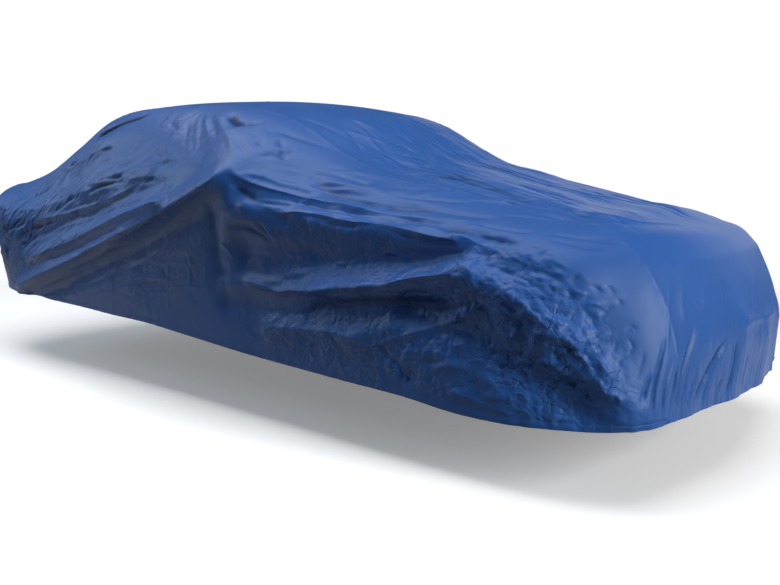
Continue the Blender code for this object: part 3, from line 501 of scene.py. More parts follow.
# Crumpled zones, where slack cloth stands in flat facets: each within an ellipse, turned by an angle in
# degrees. Pitch of the facets in metres, rise in millimetres.
FACET_COLUMNS = (
    "view", "middle_across", "middle_up", "half_along", "half_aside", "turn", "pitch", "rise", "seed")
FACETS = (
    ("near", 2.03, 0.500, 0.28, 0.090, -54, 0.070, 5.0, 81),
    ("near", 2.01, 0.530, 0.36, 0.100, -54, 0.036, 4.0, 82),
    ("near", 2.02, 0.520, 0.38, 0.110, -54, 0.022, 2.6, 97),
    ("near", 2.12, 0.340, 0.18, 0.070, -20, 0.030, 4.5, 83),
    ("near", 1.62, 0.400, 0.42, 0.110, 0, 0.050, 4.0, 84),
    ("near", 1.70, 0.700, 0.32, 0.080, -12, 0.045, 3.0, 90),
    ("near", 0.95, 0.460, 0.60, 0.130, 3, 0.090, 3.5, 85),
    ("near", 0.75, 0.760, 0.40, 0.110, 0, 0.090, 3.5, 86),
    ("near", -0.20, 0.620, 0.60, 0.150, 8, 0.100, 3.0, 87),
    ("near", -1.30, 0.880, 0.55, 0.260, 20, 0.080, 5.0, 88),
    ("near", -1.65, 0.700, 0.30, 0.220, 45, 0.060, 5.0, 91),
    ("near", 0.10, 1.180, 0.60, 0.150, 0, 0.130, 3.0, 92),
    ("far", 0.00, 0.700, 2.20, 0.450, 0, 0.110, 4.0, 89),
    ("top", 1.40, 0.000, 0.80, 0.550, 0, 0.150, 2.5, 93),
    ("top", -1.20, 0.000, 0.90, 0.550, 0, 0.140, 3.0, 94),
    ("front", 0.00, 0.500, 0.60, 0.220, 0, 0.120, 2.5, 95),
    ("rear", 0.00, 0.700, 0.60, 0.300, 0, 0.110, 4.0, 96),
)

# Zones of the creases too fine for the mesh, which the surface's relief shows: ellipses in one view, with
# how streaky and crumpled the cloth is at their middles, and how strongly paler thin lines show there
SLACK_COLUMNS = (
    "view", "middle_across", "middle_up", "half_across", "half_up", "turn", "streaky", "crumpled", "pale_marks")
SLACK_ZONES = (
    ("side", -1.30, 0.82, 1.00, 0.42, 25, 1.00, 0.20, 0.10),
    ("side", -0.30, 0.95, 0.90, 0.30, 20, 0.55, 0.15, 0.05),
    ("side", 0.05, 0.72, 0.70, 0.30, 30, 0.25, 0.20, 0.30),
    ("side", 0.10, 1.22, 0.60, 0.16, -10, 0.15, 0.25, 0.00),
    ("side", 1.25, 0.70, 0.75, 0.26, -12, 0.00, 0.45, 0.30),
    ("side", 1.85, 0.52, 0.50, 0.26, -40, 0.00, 0.90, 0.30),
    ("side", 1.20, 0.42, 0.80, 0.22, 0, 0.00, 0.50, 1.00),
    ("top", 1.35, -0.30, 0.80, 0.45, 0, 0.50, 0.10, 0.00),
    ("top", -1.40, 0.00, 0.80, 0.90, 0, 0.60, 0.20, 0.00),
    ("front", -0.22, 0.38, 0.52, 0.26, 0, 0.70, 0.10, 0.00),
    ("front", 0.40, 0.36, 0.60, 0.18, 0, 0.70, 0.10, 0.00),
)

# The crests of the long ridges are crisper than the mesh: relief along a smooth line through these places
# (x, height) of the near side. How far it falls off above and below the crest and its rise in millimetres.
# It fades out toward both ends, over CREST_END in metres of x.
CREST_COLUMNS = ("above", "below", "rise", "places")
CRESTS = (
    (24, 9, 7, ((0.56, 1.045), (0.35, 0.975), (0.10, 0.893), (-0.28, 0.785), (-0.69, 0.652), (-1.16, 0.515),
                (-1.50, 0.42))),
    (18, 9, 4, ((0.12, 0.935), (-0.30, 0.855), (-0.75, 0.73), (-1.04, 0.66), (-1.28, 0.60))),
    (14, 6, 5, ((0.56, 1.045), (0.69, 1.005), (0.87, 0.97), (1.04, 0.945), (1.22, 0.92))),
    (10, 6, 5, ((0.80, 0.905), (0.96, 0.90), (1.15, 0.875), (1.27, 0.868), (1.40, 0.854), (1.50, 0.838),
                (1.63, 0.828))),
    (12, 6, 5, ((0.56, 0.617), (0.73, 0.596), (0.87, 0.605), (1.10, 0.633), (1.32, 0.659), (1.43, 0.689),
                (1.64, 0.722))),
)
CREST_END = 0.06

# The streaks of a side fan out from this point at the tail hem. The distance along the side goes on round the
# tail corner, where the cloth is nearer the middle than this half width.
FAN_X = -1.62
FAN_UP = 0.36
FAN_HALF_WIDTH = 0.89

# On the front end, farther forward than this x and below this height, the streaks run upright
FRONT_GRAIN_FROM = 2.13
FRONT_GRAIN_BELOW = 0.75

# A crease sunk deeper than the first of these, in metres, gets painted shade in its colour, and one as deep
# as the second is painted fully dark
SUNK_FROM = 0.003
SUNK_TO = 0.014

MILLIMETRE = 0.001

# A crease's path has this many straight runs between two of its places, and its rise ends this many widths
# from it. The rise falls off toward both ends, over this share of the path but at most this length in metres,
# to this share of itself at the very end. Streaks and crinkles have this crest radius in millimetres.
CREASE_STEPS = 5
CREASE_REACH = 4.0
TAPER_SHARE = 0.25
TAPER_LENGTH = 0.06
END_RISE = 0.2
STREAK_CREST = 1.0

# Chance differences between streaks: the scatter of their offset and lean as shares of the family's spread,
# that of their bend in metres, and the least and greatest shares of the family's width and rise
STREAK_SCATTER = 0.6
STREAK_LEAN = 0.12
STREAK_BEND = 0.006
STREAK_WIDTHS = (0.7, 1.5)
STREAK_RISES = (0.4, 1.5)

# The same for the crinkles: least and greatest shares of the zone's length, width and rise, and the scatter
# of their bend as a share of half their length
CRINKLE_LENGTHS = (0.3, 1.3)
CRINKLE_WIDTHS = (0.7, 1.6)
CRINKLE_RISES = (0.3, 1.4)
CRINKLE_BEND = 0.2

# Facet corners stand up to this share of the pitch out of line. Their heights scatter by this share of the
# rise, and fall to nothing at the rim with this slope. Corners closer than the tolerance count as one.
FACET_SHIFT = 0.45
FACET_SCATTER = 0.6
FACET_RIM_SLOPE = 1.6
FACET_TOLERANCE = 1e-6

# Creases are drawn only where the cloth faces their view by more than this (the cosine of the angle)
LEAST_FACING = 0.05

# How fast a slack zone fades toward its rim, and with the turn of the cloth away from its view
SLACK_RIM_SLOPE = 2
SLACK_FACING_SLOPE = 2

# The gathered hem, in metres and degrees. The cloth turns round its edge through these angles, then goes up
# the inner side for these shares of the tunnel. The tunnel stands out a little, with stitches along its top.
HEM_RING_ANGLES = (45, 90, 135, 180)
HEM_RING_SHARES = (0.35, 0.7, 1.0)
HEM_RINGS = len(HEM_RING_ANGLES) + len(HEM_RING_SHARES)
HEM_TURN_RADIUS = 0.0022
HEM_TUNNEL_WIDTH = 0.024
HEM_TUNNEL_RISE = 0.0016
STITCH_GROOVE_DEPTH = 0.0010
STITCH_GROOVE_WIDTH = 0.004

# Gathers above the hem and puckers on it, in metres. Both are deeper round the ends, which start this far
# from the middle. Across an end the place along the hem grows by this share of y.
HEM_MIDDLE_X = 0.1
HEM_ENDS_FROM = 1.4
HEM_ENDS_RAMP = 0.5
HEM_ACROSS_SHARE = 0.9
GATHER_DEPTH = 0.0004
GATHER_DEPTH_MORE_AT_ENDS = 0.0002
GATHER_REACH = 0.060
GATHER_PITCH = 0.075
GATHER_SEED = 61
PUCKER_DEPTH = 0.00012
PUCKER_PITCH = 0.030
PUCKER_SEED = 62

# The elastic flattens the creases by this share at the hem, and less with the distance, within this reach
HEM_CALM = 0.90
HEM_CALM_REACH = 0.035

# The sewn seams: a flat ridge and the puckers beside it, in metres
SEAM_FOLD_WIDTH = 0.010
SEAM_FOLD_RISE = 0.0012
SEAM_PUCKER_REACH = 0.02
SEAM_PUCKER_RISE = 0.0008
SEAM_PUCKER_SHARE = 0.8
SEAM_PUCKER_PITCH = 0.035
NEAR_SEAM_SEED = 71
FAR_SEAM_SEED = 72

# The uneven waves of gathers and puckers: how many cosines, and the range of their lengths as shares of the
# pitch
WAVE_COUNT = 7
WAVE_LENGTHS = (0.6, 1.7)

# Where the seams lie, as columns of the surface's grid
NEAR_SEAM = COLUMNS_NEAR_SIDE
FAR_SEAM = COLUMNS_NEAR_SIDE + COLUMNS_TOP


# ---------------------------------------------------------------- small helpers
def named_rows(columns, rows, view=None):
    """The rows of a table as dictionaries: all of them, or those of one view."""
    named = [dict(zip(columns, row)) for row in rows]
    return [row for row in named if view is None or row["view"] == view]


def running_sum(steps, axis=0):
    """The sums of the steps up to each place, with a zero in front."""
    start = np.zeros_like(np.take(steps, [0], axis=axis))
    return np.concatenate([start, np.cumsum(steps, axis=axis)], axis=axis)


def step_lengths(points, axis=0):
    """The distances between neighbouring points along one axis of their grid."""
    return np.linalg.norm(np.diff(points, axis=axis), axis=-1)


def unit(vectors):
    """The vectors, each divided by its length."""
    return vectors / np.linalg.norm(vectors, axis=-1, keepdims=True)


def outward_normals(grid):
    """Unit normals of a grid of points, from its differences along the rows and the columns."""
    return unit(np.cross(np.gradient(grid, axis=0), np.gradient(grid, axis=1)))


# ---------------------------------------------------------------- the loft
def smooth_through(knots, values, positions):
    """Values at the given positions of the smooth curve through the knots, with straight-line slopes at
    its ends: a cubic Hermite curve whose slope at each knot is the mean slope beside it."""
    steps = np.diff(knots)
    chords = np.diff(values, axis=0) / steps[:, None]
    slopes = np.empty_like(values)
    slopes[0] = chords[0]
    slopes[-1] = chords[-1]
    before = steps[:-1, None]
    after = steps[1:, None]
    slopes[1:-1] = (chords[:-1] * after + chords[1:] * before) / (before + after)
    span = np.clip(np.searchsorted(knots, positions, side="right") - 1, 0, len(knots) - 2)
    length = steps[span][:, None]
    along = (positions - knots[span])[:, None] / length
    start_weight = 1 - along ** 2 * (3 - 2 * along)
    start_slope_weight = along * (1 - along) ** 2
    end_slope_weight = along ** 2 * (along - 1)
    return (values[span] * start_weight + values[span + 1] * (1 - start_weight)
            + length * (slopes[span] * start_slope_weight + slopes[span + 1] * end_slope_weight))


def lengthwise_rows(rows):
    """The section table resampled to the rows, as a dictionary of columns."""
    table = np.array(SECTIONS)
    at = {name: column for column, name in enumerate(SECTION_COLUMNS)}
    seam_steps = np.hypot(np.diff(table[:, at["seam_x"]]), np.diff(table[:, at["seam_height"]]))
    hem_steps = np.abs(np.diff(table[:, at["hem_x"]]))
    knots = running_sum((seam_steps + hem_steps) / 2)
    share = np.linspace(0, 1, rows)
    share += ROW_CROWDING * share * (1 - share)
    resampled = smooth_through(knots, table, knots[-1] * share)
    return {name: resampled[:, column] for name, column in at.items()}


def between_seam_and_hem(section, half_width, height):
    """A line of the side at the given half widths and heights, each x as far from the seam's toward the
    hem's as its height is."""
    down = (section["seam_height"] - height) / (section["seam_height"] - section["hem_height"])
    x = section["seam_x"] + (section["hem_x"] - section["seam_x"]) * down
    return np.stack([x, half_width, height], axis=1)


def guide_lines(rows):
    """The crown, seam, shoulder, waist and hem lines of the far side, each as an array of points."""
    section = lengthwise_rows(rows)
    crown = np.stack([section["crown_x"], np.zeros(rows), section["crown_height"]], axis=1)
    seam = np.stack([section["seam_x"], np.full(rows, SEAM_HALF_WIDTH), section["seam_height"]], axis=1)
    hem = np.stack([section["hem_x"], section["hem_half_width"], section["hem_height"]], axis=1)
    waist_height = (section["shoulder_height"] + section["hem_height"]) / 2
    shoulder = between_seam_and_hem(section, section["shoulder_half_width"], section["shoulder_height"])
    waist = between_seam_and_hem(section, section["waist_half_width"], waist_height)
    return crown, seam, shoulder, waist, hem


def side_surface(rows, columns):
    """Grid of points of one side, from the seam (first column) to the hem, at positive Y."""
    crown, seam, shoulder, waist, hem = guide_lines(rows)
    grid = np.empty((rows, columns + 1, 3))
    for row in range(rows):
        inward = seam[row] + (crown[row] - seam[row]) * INWARD_SHARE
        points = np.stack([inward, seam[row], shoulder[row], waist[row], hem[row]])
        knots = running_sum(step_lengths(points))
        grid[row] = smooth_through(knots, points, np.linspace(knots[1], knots[-1], columns + 1))
    return grid


def top_surface(rows, columns):
    """Grid of points of the top panel, from the seam at negative Y to the seam at positive Y. With s the
    share of the way from the crown to a seam, its x and its height follow
    crown + (seam - crown) * s^2 + fullness * s^2 * (s^2 - 1),
    where the fullness is what makes the panel leave the seam in line with the side panel."""
    crown, seam, _, _, _ = guide_lines(rows)
    leaving = side_surface(rows, SEAM_SLOPE_COLUMNS)[:, :2]
    slope = (leaving[:, 1] - leaving[:, 0]) / (leaving[:, 1, 1:2] - leaving[:, 0, 1:2]) * SEAM_HALF_WIDTH
    fullness = slope / 2 - (seam - crown)
    squared = np.linspace(-1, 1, columns + 1)[None, :, None] ** 2
    grid = crown[:, None, :] + (seam - crown)[:, None, :] * squared
    grid += fullness[:, None, :] * squared * (squared - 1)
    grid[..., 1] = SEAM_HALF_WIDTH * np.linspace(-1, 1, columns + 1)
    return grid


def whole_surface(rows, near_columns, top_columns, far_columns):
    """Grid of points from the near hem over the top to the far hem, one row for each cross-section."""
    near = side_surface(rows, near_columns)[:, ::-1] * (1, -1, 1)
    top = top_surface(rows, top_columns)
    far = side_surface(rows, far_columns)
    return np.concatenate([near, top[:, 1:-1], far], axis=1)


# ---------------------------------------------------------------- folds and creases
def fold_rise(across, up, folds):
    """Sum of the folds at points given by two coordinates. For a fold from start to end, with t the share
    of the way along it and d the distance from it less bow * 4t(1 - t), the rise is
    rise * exp(-(d / width)^2) * fade, where fade drops to nothing just past both ends."""
    total = np.zeros_like(across)
    for fold in named_rows(FOLD_COLUMNS, folds):
        run = np.array([fold["end_across"] - fold["start_across"], fold["end_up"] - fold["start_up"]])
        length = np.hypot(*run)
        along_unit = run / length
        from_start_across = across - fold["start_across"]
        from_start_up = up - fold["start_up"]
        t = (from_start_across * along_unit[0] + from_start_up * along_unit[1]) / length
        inside = np.clip(t, 0, 1)
        upward = 1 if run[0] >= 0 else -1
        offset = upward * (from_start_up * along_unit[0] - from_start_across * along_unit[1])
        offset = offset - fold["bow"] * 4 * inside * (1 - inside)
        width = fold["start_width"] + (fold["end_width"] - fold["start_width"]) * inside
        past_end = np.abs(t - inside) * length
        total += fold["rise"] * np.exp(-(offset / width) ** 2 - (past_end / width) ** 2)
    return total


def crease_path(crease):
    """The smooth path of a crease through its three places, as short straight runs."""
    names = ("start", "middle", "end")
    places = np.array([(crease[name + "_across"], crease[name + "_up"]) for name in names])
    knots = running_sum(np.hypot(*np.diff(places, axis=0).T))
    return smooth_through(knots, places, np.linspace(0, knots[-1], CREASE_STEPS * (len(places) - 1) + 1))


def nearest_on_path(path, across, up):
    """For points given by two coordinates: their distance from a path, how far along it the nearest place is,
    the whole length of the path, and whether each point lies above it."""
    place = np.stack([across, up], axis=-1)[:, None]
    start = path[:-1]
    run = path[1:] - start
    length = np.hypot(run[:, 0], run[:, 1])
    share = np.clip(((place - start) * run).sum(axis=-1) / length ** 2, 0, 1)
    offset = place - start - share[..., None] * run
    distance = np.hypot(offset[..., 0], offset[..., 1])
    closest = distance.argmin(axis=1)
    pick = (np.arange(len(closest)), closest)
    reached = running_sum(length)
    along = reached[closest] + share[pick] * length[closest]
    side = run[closest, 0] * offset[pick][:, 1] - run[closest, 1] * offset[pick][:, 0]
    side *= 1 if path[-1, 0] >= path[0, 0] else -1
    return distance[pick], along, reached[-1], side > 0


def crease_rise(across, up, creases):
    """Sum of the sharp creases at points given by two coordinates. At the distance d from a crease's path
    the rise is rise * exp(-(sqrt(d^2 + crest^2) - crest) / width), less near both ends of the path."""
    total = np.zeros_like(across)
    for crease in named_rows(CREASE_COLUMNS, creases):
        path = crease_path(crease)
        above, below, crest = (crease[name] * MILLIMETRE for name in ("above", "below", "crest"))
        reach = CREASE_REACH * max(above, below)
        low = path.min(axis=0) - reach
        high = path.max(axis=0) + reach
        near_it = np.nonzero((across > low[0]) & (across < high[0]) & (up > low[1]) & (up < high[1]))
        if len(near_it[0]) == 0:
            continue
        distance, along, length, is_above = nearest_on_path(path, across[near_it], up[near_it])
        from_end = np.minimum(along, length - along) / min(TAPER_SHARE * length, TAPER_LENGTH)
        taper = END_RISE + (1 - END_RISE) * np.clip(from_end, 0, 1)
        rounded = np.hypot(distance, crest) - crest
        width = np.where(is_above, above, below)
        fade = np.clip(np.exp(-rounded / width) - math.exp(-CREASE_REACH), 0, None)
        total[near_it] += crease["rise"] * MILLIMETRE * taper * fade
    return total


def streak_creases(view):
    """Creases for the streaks of one view."""
    creases = []
    for family in named_rows(STREAK_COLUMNS, STREAKS, view):
        random = np.random.default_rng(family["seed"])
        start = np.array([family["start_across"], family["start_up"]])
        run = np.array([family["end_across"], family["end_up"]]) - start
        side_step = np.array([-run[1], run[0]]) / np.hypot(*run)
        for _ in range(family["count"]):
            share = random.uniform(family["shortest"], family["longest"])
            first = random.uniform(0, 1 - share)
            offset = random.normal(0, STREAK_SCATTER) * family["spread"]
            lean = random.normal(0, STREAK_LEAN) * family["spread"]
            bend = random.normal(0, STREAK_BEND)
            points = []
            for t, shift in ((first, -lean), (first + share / 2, bend), (first + share, lean)):
                point = start + run * t + side_step * (offset + shift)
                point[1] += family["bow"] * 4 * t * (1 - t)
                points.extend(point)
            above, below = family["width"] * random.uniform(*STREAK_WIDTHS, 2)
            rise = family["rise"] * random.uniform(*STREAK_RISES) * random.choice([-1, 1])
            creases.append((*points, above, below, rise, STREAK_CREST))
    return creases


def crinkle_creases(view):
    """Creases for the crinkles of one view."""
    creases = []
    for zone in named_rows(CRINKLE_COLUMNS, CRINKLES, view):
        random = np.random.default_rng(zone["seed"])
        for _ in range(zone["count"]):
            angle = random.uniform(0, math.tau)
            out = math.sqrt(random.uniform(0, 1))
            across = zone["middle_across"] + zone["half_across"] * out * math.cos(angle)
            up = zone["middle_up"] + zone["half_up"] * out * math.sin(angle)
            heading = random.uniform(0, math.pi)
            half = zone["length"] * random.uniform(*CRINKLE_LENGTHS) / 2
            step = np.array([math.cos(heading), math.sin(heading)]) * half
            aside = np.array([-step[1], step[0]]) * random.normal(0, CRINKLE_BEND)
            middle = np.array([across, up])
            points = (*(middle - step), *(middle + aside), *(middle + step))
            above, below = zone["width"] * random.uniform(*CRINKLE_WIDTHS, 2)
            rise = zone["rise"] * random.uniform(*CRINKLE_RISES) * random.choice([-1, 1])
            creases.append((*points, above, below, rise, STREAK_CREST))
    return creases


def turned_place(across, up, zone):
    """Places measured from a zone's middle, along its turned axis and aside from it."""
    turn = math.radians(zone["turn"])
    from_across = across - zone["middle_across"]
    from_up = up - zone["middle_up"]
    along = from_across * math.cos(turn) + from_up * math.sin(turn)
    aside = from_up * math.cos(turn) - from_across * math.sin(turn)
    return along, aside


def facet_corners(half_along, half_aside, pitch, seed):
    """Places about one pitch apart that cover an ellipse, and a random height for each, which falls to
    nothing at the ellipse's rim."""
    random = np.random.default_rng(seed)
    steps_along = np.arange(-half_along - pitch, half_along + 2 * pitch, pitch)
    steps_aside = np.arange(-half_aside - pitch, half_aside + 2 * pitch, pitch)
    knots = np.stack(np.meshgrid(steps_along, steps_aside, indexing="ij"), axis=-1).reshape(-1, 2)
    knots += random.uniform(-FACET_SHIFT, FACET_SHIFT, knots.shape) * pitch
    out = np.hypot(knots[:, 0] / half_along, knots[:, 1] / half_aside)
    rim = np.clip(FACET_RIM_SLOPE * (1 - out), 0, 1)
    return knots, random.normal(0, FACET_SCATTER, len(knots)) * rim


def faceted(along, aside, knots, heights):
    """Heights at points given by two coordinates of the flat triangular facets between the knots."""
    triangles = delaunay_2d_cdt([Vector(knot) for knot in knots], [], [], 0, FACET_TOLERANCE)[2]
    total = np.zeros_like(along)
    for corners in triangles:
        a, b, c = knots[list(corners)]
        high = np.maximum(np.maximum(a, b), c)
        low = np.minimum(np.minimum(a, b), c)
        in_box = (along >= low[0]) & (along <= high[0]) & (aside >= low[1]) & (aside <= high[1])
        inside = np.nonzero(in_box)[0]
        double_area = (b[0] - a[0]) * (c[1] - a[1]) - (c[0] - a[0]) * (b[1] - a[1])
        u, v = along[inside] - a[0], aside[inside] - a[1]
        share_b = (u * (c[1] - a[1]) - v * (c[0] - a[0])) / double_area
        share_c = (v * (b[0] - a[0]) - u * (b[1] - a[1])) / double_area
        within = (share_b >= 0) & (share_c >= 0) & (share_b + share_c <= 1)
        height_a, height_b, height_c = heights[list(corners)]
        plane = height_a + share_b * (height_b - height_a) + share_c * (height_c - height_a)
        total[inside[within]] = plane[within]
    return total


def crumple_rise(across, up, view):
    """Sum of the crumpled zones of one view."""
    total = np.zeros_like(across)
    for zone in named_rows(FACET_COLUMNS, FACETS, view):
        along, aside = turned_place(across, up, zone)
        knots, heights = facet_corners(zone["half_along"], zone["half_aside"], zone["pitch"], zone["seed"])
        total += zone["rise"] * MILLIMETRE * faceted(along, aside, knots, heights)
    return total


def cone_rise(x, up, rise, reach, tip_radius):
    """A cone at the side peak, rise * exp(-r / reach), with the distance r rounded off at the tip."""
    distance = np.sqrt((x - PEAK_X) ** 2 + (up - PEAK_UP) ** 2 + tip_radius ** 2)
    return rise * np.exp(-(distance - tip_radius) / reach)


def view_rises(view, facing, across, up, folds):
    """How far one view's smooth folds and its sharp creases raise the cloth: less, the more the cloth faces
    away from the view."""
    weight = np.clip(facing, 0, 1)
    smooth = fold_rise(across, up, folds)
    in_view = weight > LEAST_FACING
    seen = (across[in_view], up[in_view])
    creases = list(CREASES.get(view, ())) + streak_creases(view) + crinkle_creases(view)
    seen_rise = crease_rise(*seen, creases)
    seen_rise += crumple_rise(*seen, view)
    if view in ("near", "far"):
        smooth += cone_rise(across, up, PEAK_RISE, PEAK_REACH, PEAK_TIP_RADIUS)
        seen_rise += cone_rise(*seen, POINT_RISE, POINT_REACH, POINT_TIP_RADIUS)
    sharp = np.zeros_like(across)
    sharp[in_view] = np.sqrt(weight[in_view]) * seen_rise
    return weight * smooth, sharp


def folded_surface():
    """The whole surface with all its folds, the normals of the smooth folds, along which the creases rise,
    and what is known of each point: its place on the surface without folds, and how deep it is sunk in a
    crease."""
    grid = whole_surface(ROWS_ALONG + 1, COLUMNS_NEAR_SIDE, COLUMNS_TOP, COLUMNS_FAR_SIDE)
    normals = outward_normals(grid)
    x, y, up = grid[..., 0], grid[..., 1], grid[..., 2]
    views = (
        ("near", -normals[..., 1], x, up, NEAR_SIDE_FOLDS),
        ("far", normals[..., 1], x, up, FAR_SIDE_FOLDS),
        ("top", normals[..., 2], x, y, TOP_FOLDS),
        ("front", normals[..., 0], y, up, FRONT_FOLDS),
        ("rear", -normals[..., 0], y, up, REAR_FOLDS),
    )
    smooth_rise = np.zeros_like(x)
    sharp_rise = np.zeros_like(x)
    for view in views:
        smooth, sharp = view_rises(*view)
        smooth_rise += smooth
        sharp_rise += sharp
    surface = grid + normals * smooth_rise[..., None]
    normals = outward_normals(surface)
    sharp_rise *= 1 - HEM_CALM * np.exp(-(hem_distance(surface) / HEM_CALM_REACH) ** 2)
    # sunk: mask of the painted shade in the creases, from how deep they sink below the smooth folds
    sunk = np.clip((-sharp_rise - SUNK_FROM) / (SUNK_TO - SUNK_FROM), 0, 1)
    known = np.concatenate([grid, sunk[..., None]], axis=-1)
    return surface + normals * sharp_rise[..., None], normals, known


# ---------------------------------------------------------------- hem and seams
def wandering(position, pitch, seed):
    """A smooth uneven wave of about unit height: the sum of cosines with random lengths and phases."""
    random = np.random.default_rng(seed)
    total = np.zeros_like(position)
    for _ in range(WAVE_COUNT):
        length = pitch * random.uniform(*WAVE_LENGTHS)
        total += np.cos(position * math.tau / length + random.uniform(0, math.tau))
    return total / math.sqrt(WAVE_COUNT / 2)


def hem_distance(grid):
    """Distance of each point from the hem in metres, along its row or its column, whichever is shorter."""
    across = step_lengths(grid, axis=1)
    along = step_lengths(grid, axis=0)
    from_near = running_sum(across, axis=1)
    from_far = running_sum(across[:, ::-1], axis=1)[:, ::-1]
    from_tail = running_sum(along)
    from_front = running_sum(along[::-1])[::-1]
    return np.minimum(np.minimum(from_near, from_far), np.minimum(from_tail, from_front))


def add_hem(grid, normals):
    """The hem: a tunnel for the elastic, standing out a little above the edge, and gathers above it, deep
    round both ends and shallow along the sides. The place along the hem is x on the side panels, and
    grows with y across the ends."""
    distance = hem_distance(grid)
    x, y = grid[..., 0], grid[..., 1]
    place = np.where(np.abs(y) > SEAM_HALF_WIDTH, x, 0) + y * HEM_ACROSS_SHARE
    ends = np.clip((np.abs(x - HEM_MIDDLE_X) - HEM_ENDS_FROM) / HEM_ENDS_RAMP, 0, 1)
    gathers = (GATHER_DEPTH + GATHER_DEPTH_MORE_AT_ENDS * ends) * wandering(place, GATHER_PITCH, GATHER_SEED)
    gathers *= np.exp(-distance / GATHER_REACH)
    puckers = PUCKER_DEPTH * (1 + ends) * wandering(place, PUCKER_PITCH, PUCKER_SEED)
    puckers *= np.exp(-(distance / HEM_TUNNEL_WIDTH) ** 2)
    tunnel = HEM_TUNNEL_RISE * np.sin(math.pi * np.clip(distance / HEM_TUNNEL_WIDTH, 0, 1))
    from_stitches = (distance - HEM_TUNNEL_WIDTH) / STITCH_GROOVE_WIDTH
    stitch_groove = -STITCH_GROOVE_DEPTH * np.exp(-from_stitches ** 2)
    return grid + normals * (gathers + puckers + tunnel + stitch_groove)[..., None]


def add_seams(grid, normals):
    """The sewn seams: a flat ridge on each side of the line at which the panels meet, with puckers."""
    along_row = running_sum(step_lengths(grid, axis=1), axis=1)
    rise = np.zeros(grid.shape[:2])
    for seam, seed in ((NEAR_SEAM, NEAR_SEAM_SEED), (FAR_SEAM, FAR_SEAM_SEED)):
        distance = np.abs(along_row - along_row[:, seam:seam + 1])
        pucker = 1 + SEAM_PUCKER_SHARE * wandering(grid[..., 0], SEAM_PUCKER_PITCH, seed)
        rise += SEAM_FOLD_RISE * np.exp(-(distance / SEAM_FOLD_WIDTH) ** 4)
        rise += SEAM_PUCKER_RISE * pucker * np.exp(-(distance / SEAM_PUCKER_REACH) ** 2)
    return grid + normals * rise[..., None]


def turned_edge(edge, downward, normals):
    """Points that carry the cloth round the hem's bottom edge and up its inner side: a half circle of the
    turn radius, then straight up for the tunnel's width."""
    rings = []
    for angle in np.radians(HEM_RING_ANGLES):
        rings.append(edge + downward * HEM_TURN_RADIUS * math.sin(angle)
                     - normals * HEM_TURN_RADIUS * (1 - math.cos(angle)))
    for share in HEM_RING_SHARES:
        rings.append(edge - normals * HEM_TURN_RADIUS * 2 - downward * HEM_TUNNEL_WIDTH * share)
    return rings


def side_panel(grid, normals, hem_first):
    """A side panel's grid with the hem turned in along its first or last column."""
    if hem_first:
        grid = grid[:, ::-1]
        normals = normals[:, ::-1]
    downward = unit(grid[:, -1] - grid[:, -3])
    rings = turned_edge(grid[:, -1], downward, normals[:, -1])
    full = np.concatenate([grid] + [ring[:, None] for ring in rings], axis=1)
    return full[:, ::-1] if hem_first else full


def top_panel(grid, normals):
    """The top panel's grid with the hem turned in at its tail end and at its front end."""
    tail = turned_edge(grid[0], unit(grid[0] - grid[2]), normals[0])
    front = turned_edge(grid[-1], unit(grid[-1] - grid[-3]), normals[-1])
    return np.concatenate([np.array(tail[::-1]), grid, np.array(front)], axis=0)


# ---------------------------------------------------------------- meshes
def slackness(grid):
    """How streaky and crumpled the cloth is at each point, and how strongly paler thin lines show: the most
    of the zones that it lies in, each less toward its rim and where the cloth faces away from the zone's
    view."""
    normals = outward_normals(grid)
    x, y, up = grid[..., 0], grid[..., 1], grid[..., 2] + HEIGHT_OF_ORIGIN
    views = {
        "side": (np.abs(normals[..., 1]), x, up),
        "top": (normals[..., 2], x, y),
        "front": (normals[..., 0], y, up),
    }
    slack = np.zeros(grid.shape)
    for zone in named_rows(SLACK_COLUMNS, SLACK_ZONES):
        facing, across, upward = views[zone["view"]]
        along, aside = turned_place(across, upward, zone)
        out = np.hypot(along / zone["half_across"], aside / zone["half_up"])
        share = np.clip(SLACK_RIM_SLOPE * (1 - out), 0, 1) * np.clip(SLACK_FACING_SLOPE * facing, 0, 1)
        for index, kind in enumerate(("streaky", "crumpled", "pale_marks")):
            slack[..., index] = np.maximum(slack[..., index], zone[kind] * share)
    return slack


def grain(grid):
    """Place of each point along and across the streaks. On the sides they fan out from the fan's point: along
    is the distance from it and across the angle about it. On top they run along X, and in front along Z."""
    x, y, up = grid[..., 0], grid[..., 1], grid[..., 2] + HEIGHT_OF_ORIGIN
    from_fan = x - FAN_X - (FAN_HALF_WIDTH - np.abs(y))
    side = np.stack([np.hypot(from_fan, up - FAN_UP), np.arctan2(up - FAN_UP, from_fan), np.sign(y)], axis=-1)
    top = np.stack([x, y, np.zeros_like(x)], axis=-1)
    front = np.stack([up, y, np.zeros_like(x)], axis=-1)
    on_side = np.abs(y) > SEAM_HALF_WIDTH
    in_front = (x > FRONT_GRAIN_FROM) & (up < FRONT_GRAIN_BELOW)
    return np.where(in_front[..., None], front, np.where(on_side[..., None], side, top))


def grid_mesh(name, grid):
    """A mesh of quads from a grid of points."""
    rows, columns = grid.shape[:2]
    index = np.arange(rows * columns).reshape(rows, columns)
    corners = (index[:-1, :-1], index[1:, :-1], index[1:, 1:], index[:-1, 1:])
    quads = np.stack(corners, axis=-1).reshape(-1, 4)
    mesh = bpy.data.meshes.new(name)
    mesh.vertices.add(rows * columns)
    mesh.vertices.foreach_set("co", grid.reshape(-1).astype(np.float32))
    mesh.loops.add(quads.size)
    mesh.loops.foreach_set("vertex_index", quads.reshape(-1).astype(np.int32))
    mesh.polygons.add(len(quads))
    mesh.polygons.foreach_set("loop_start", np.arange(0, quads.size, 4, dtype=np.int32))
    mesh.update(calc_edges=True)
    return mesh


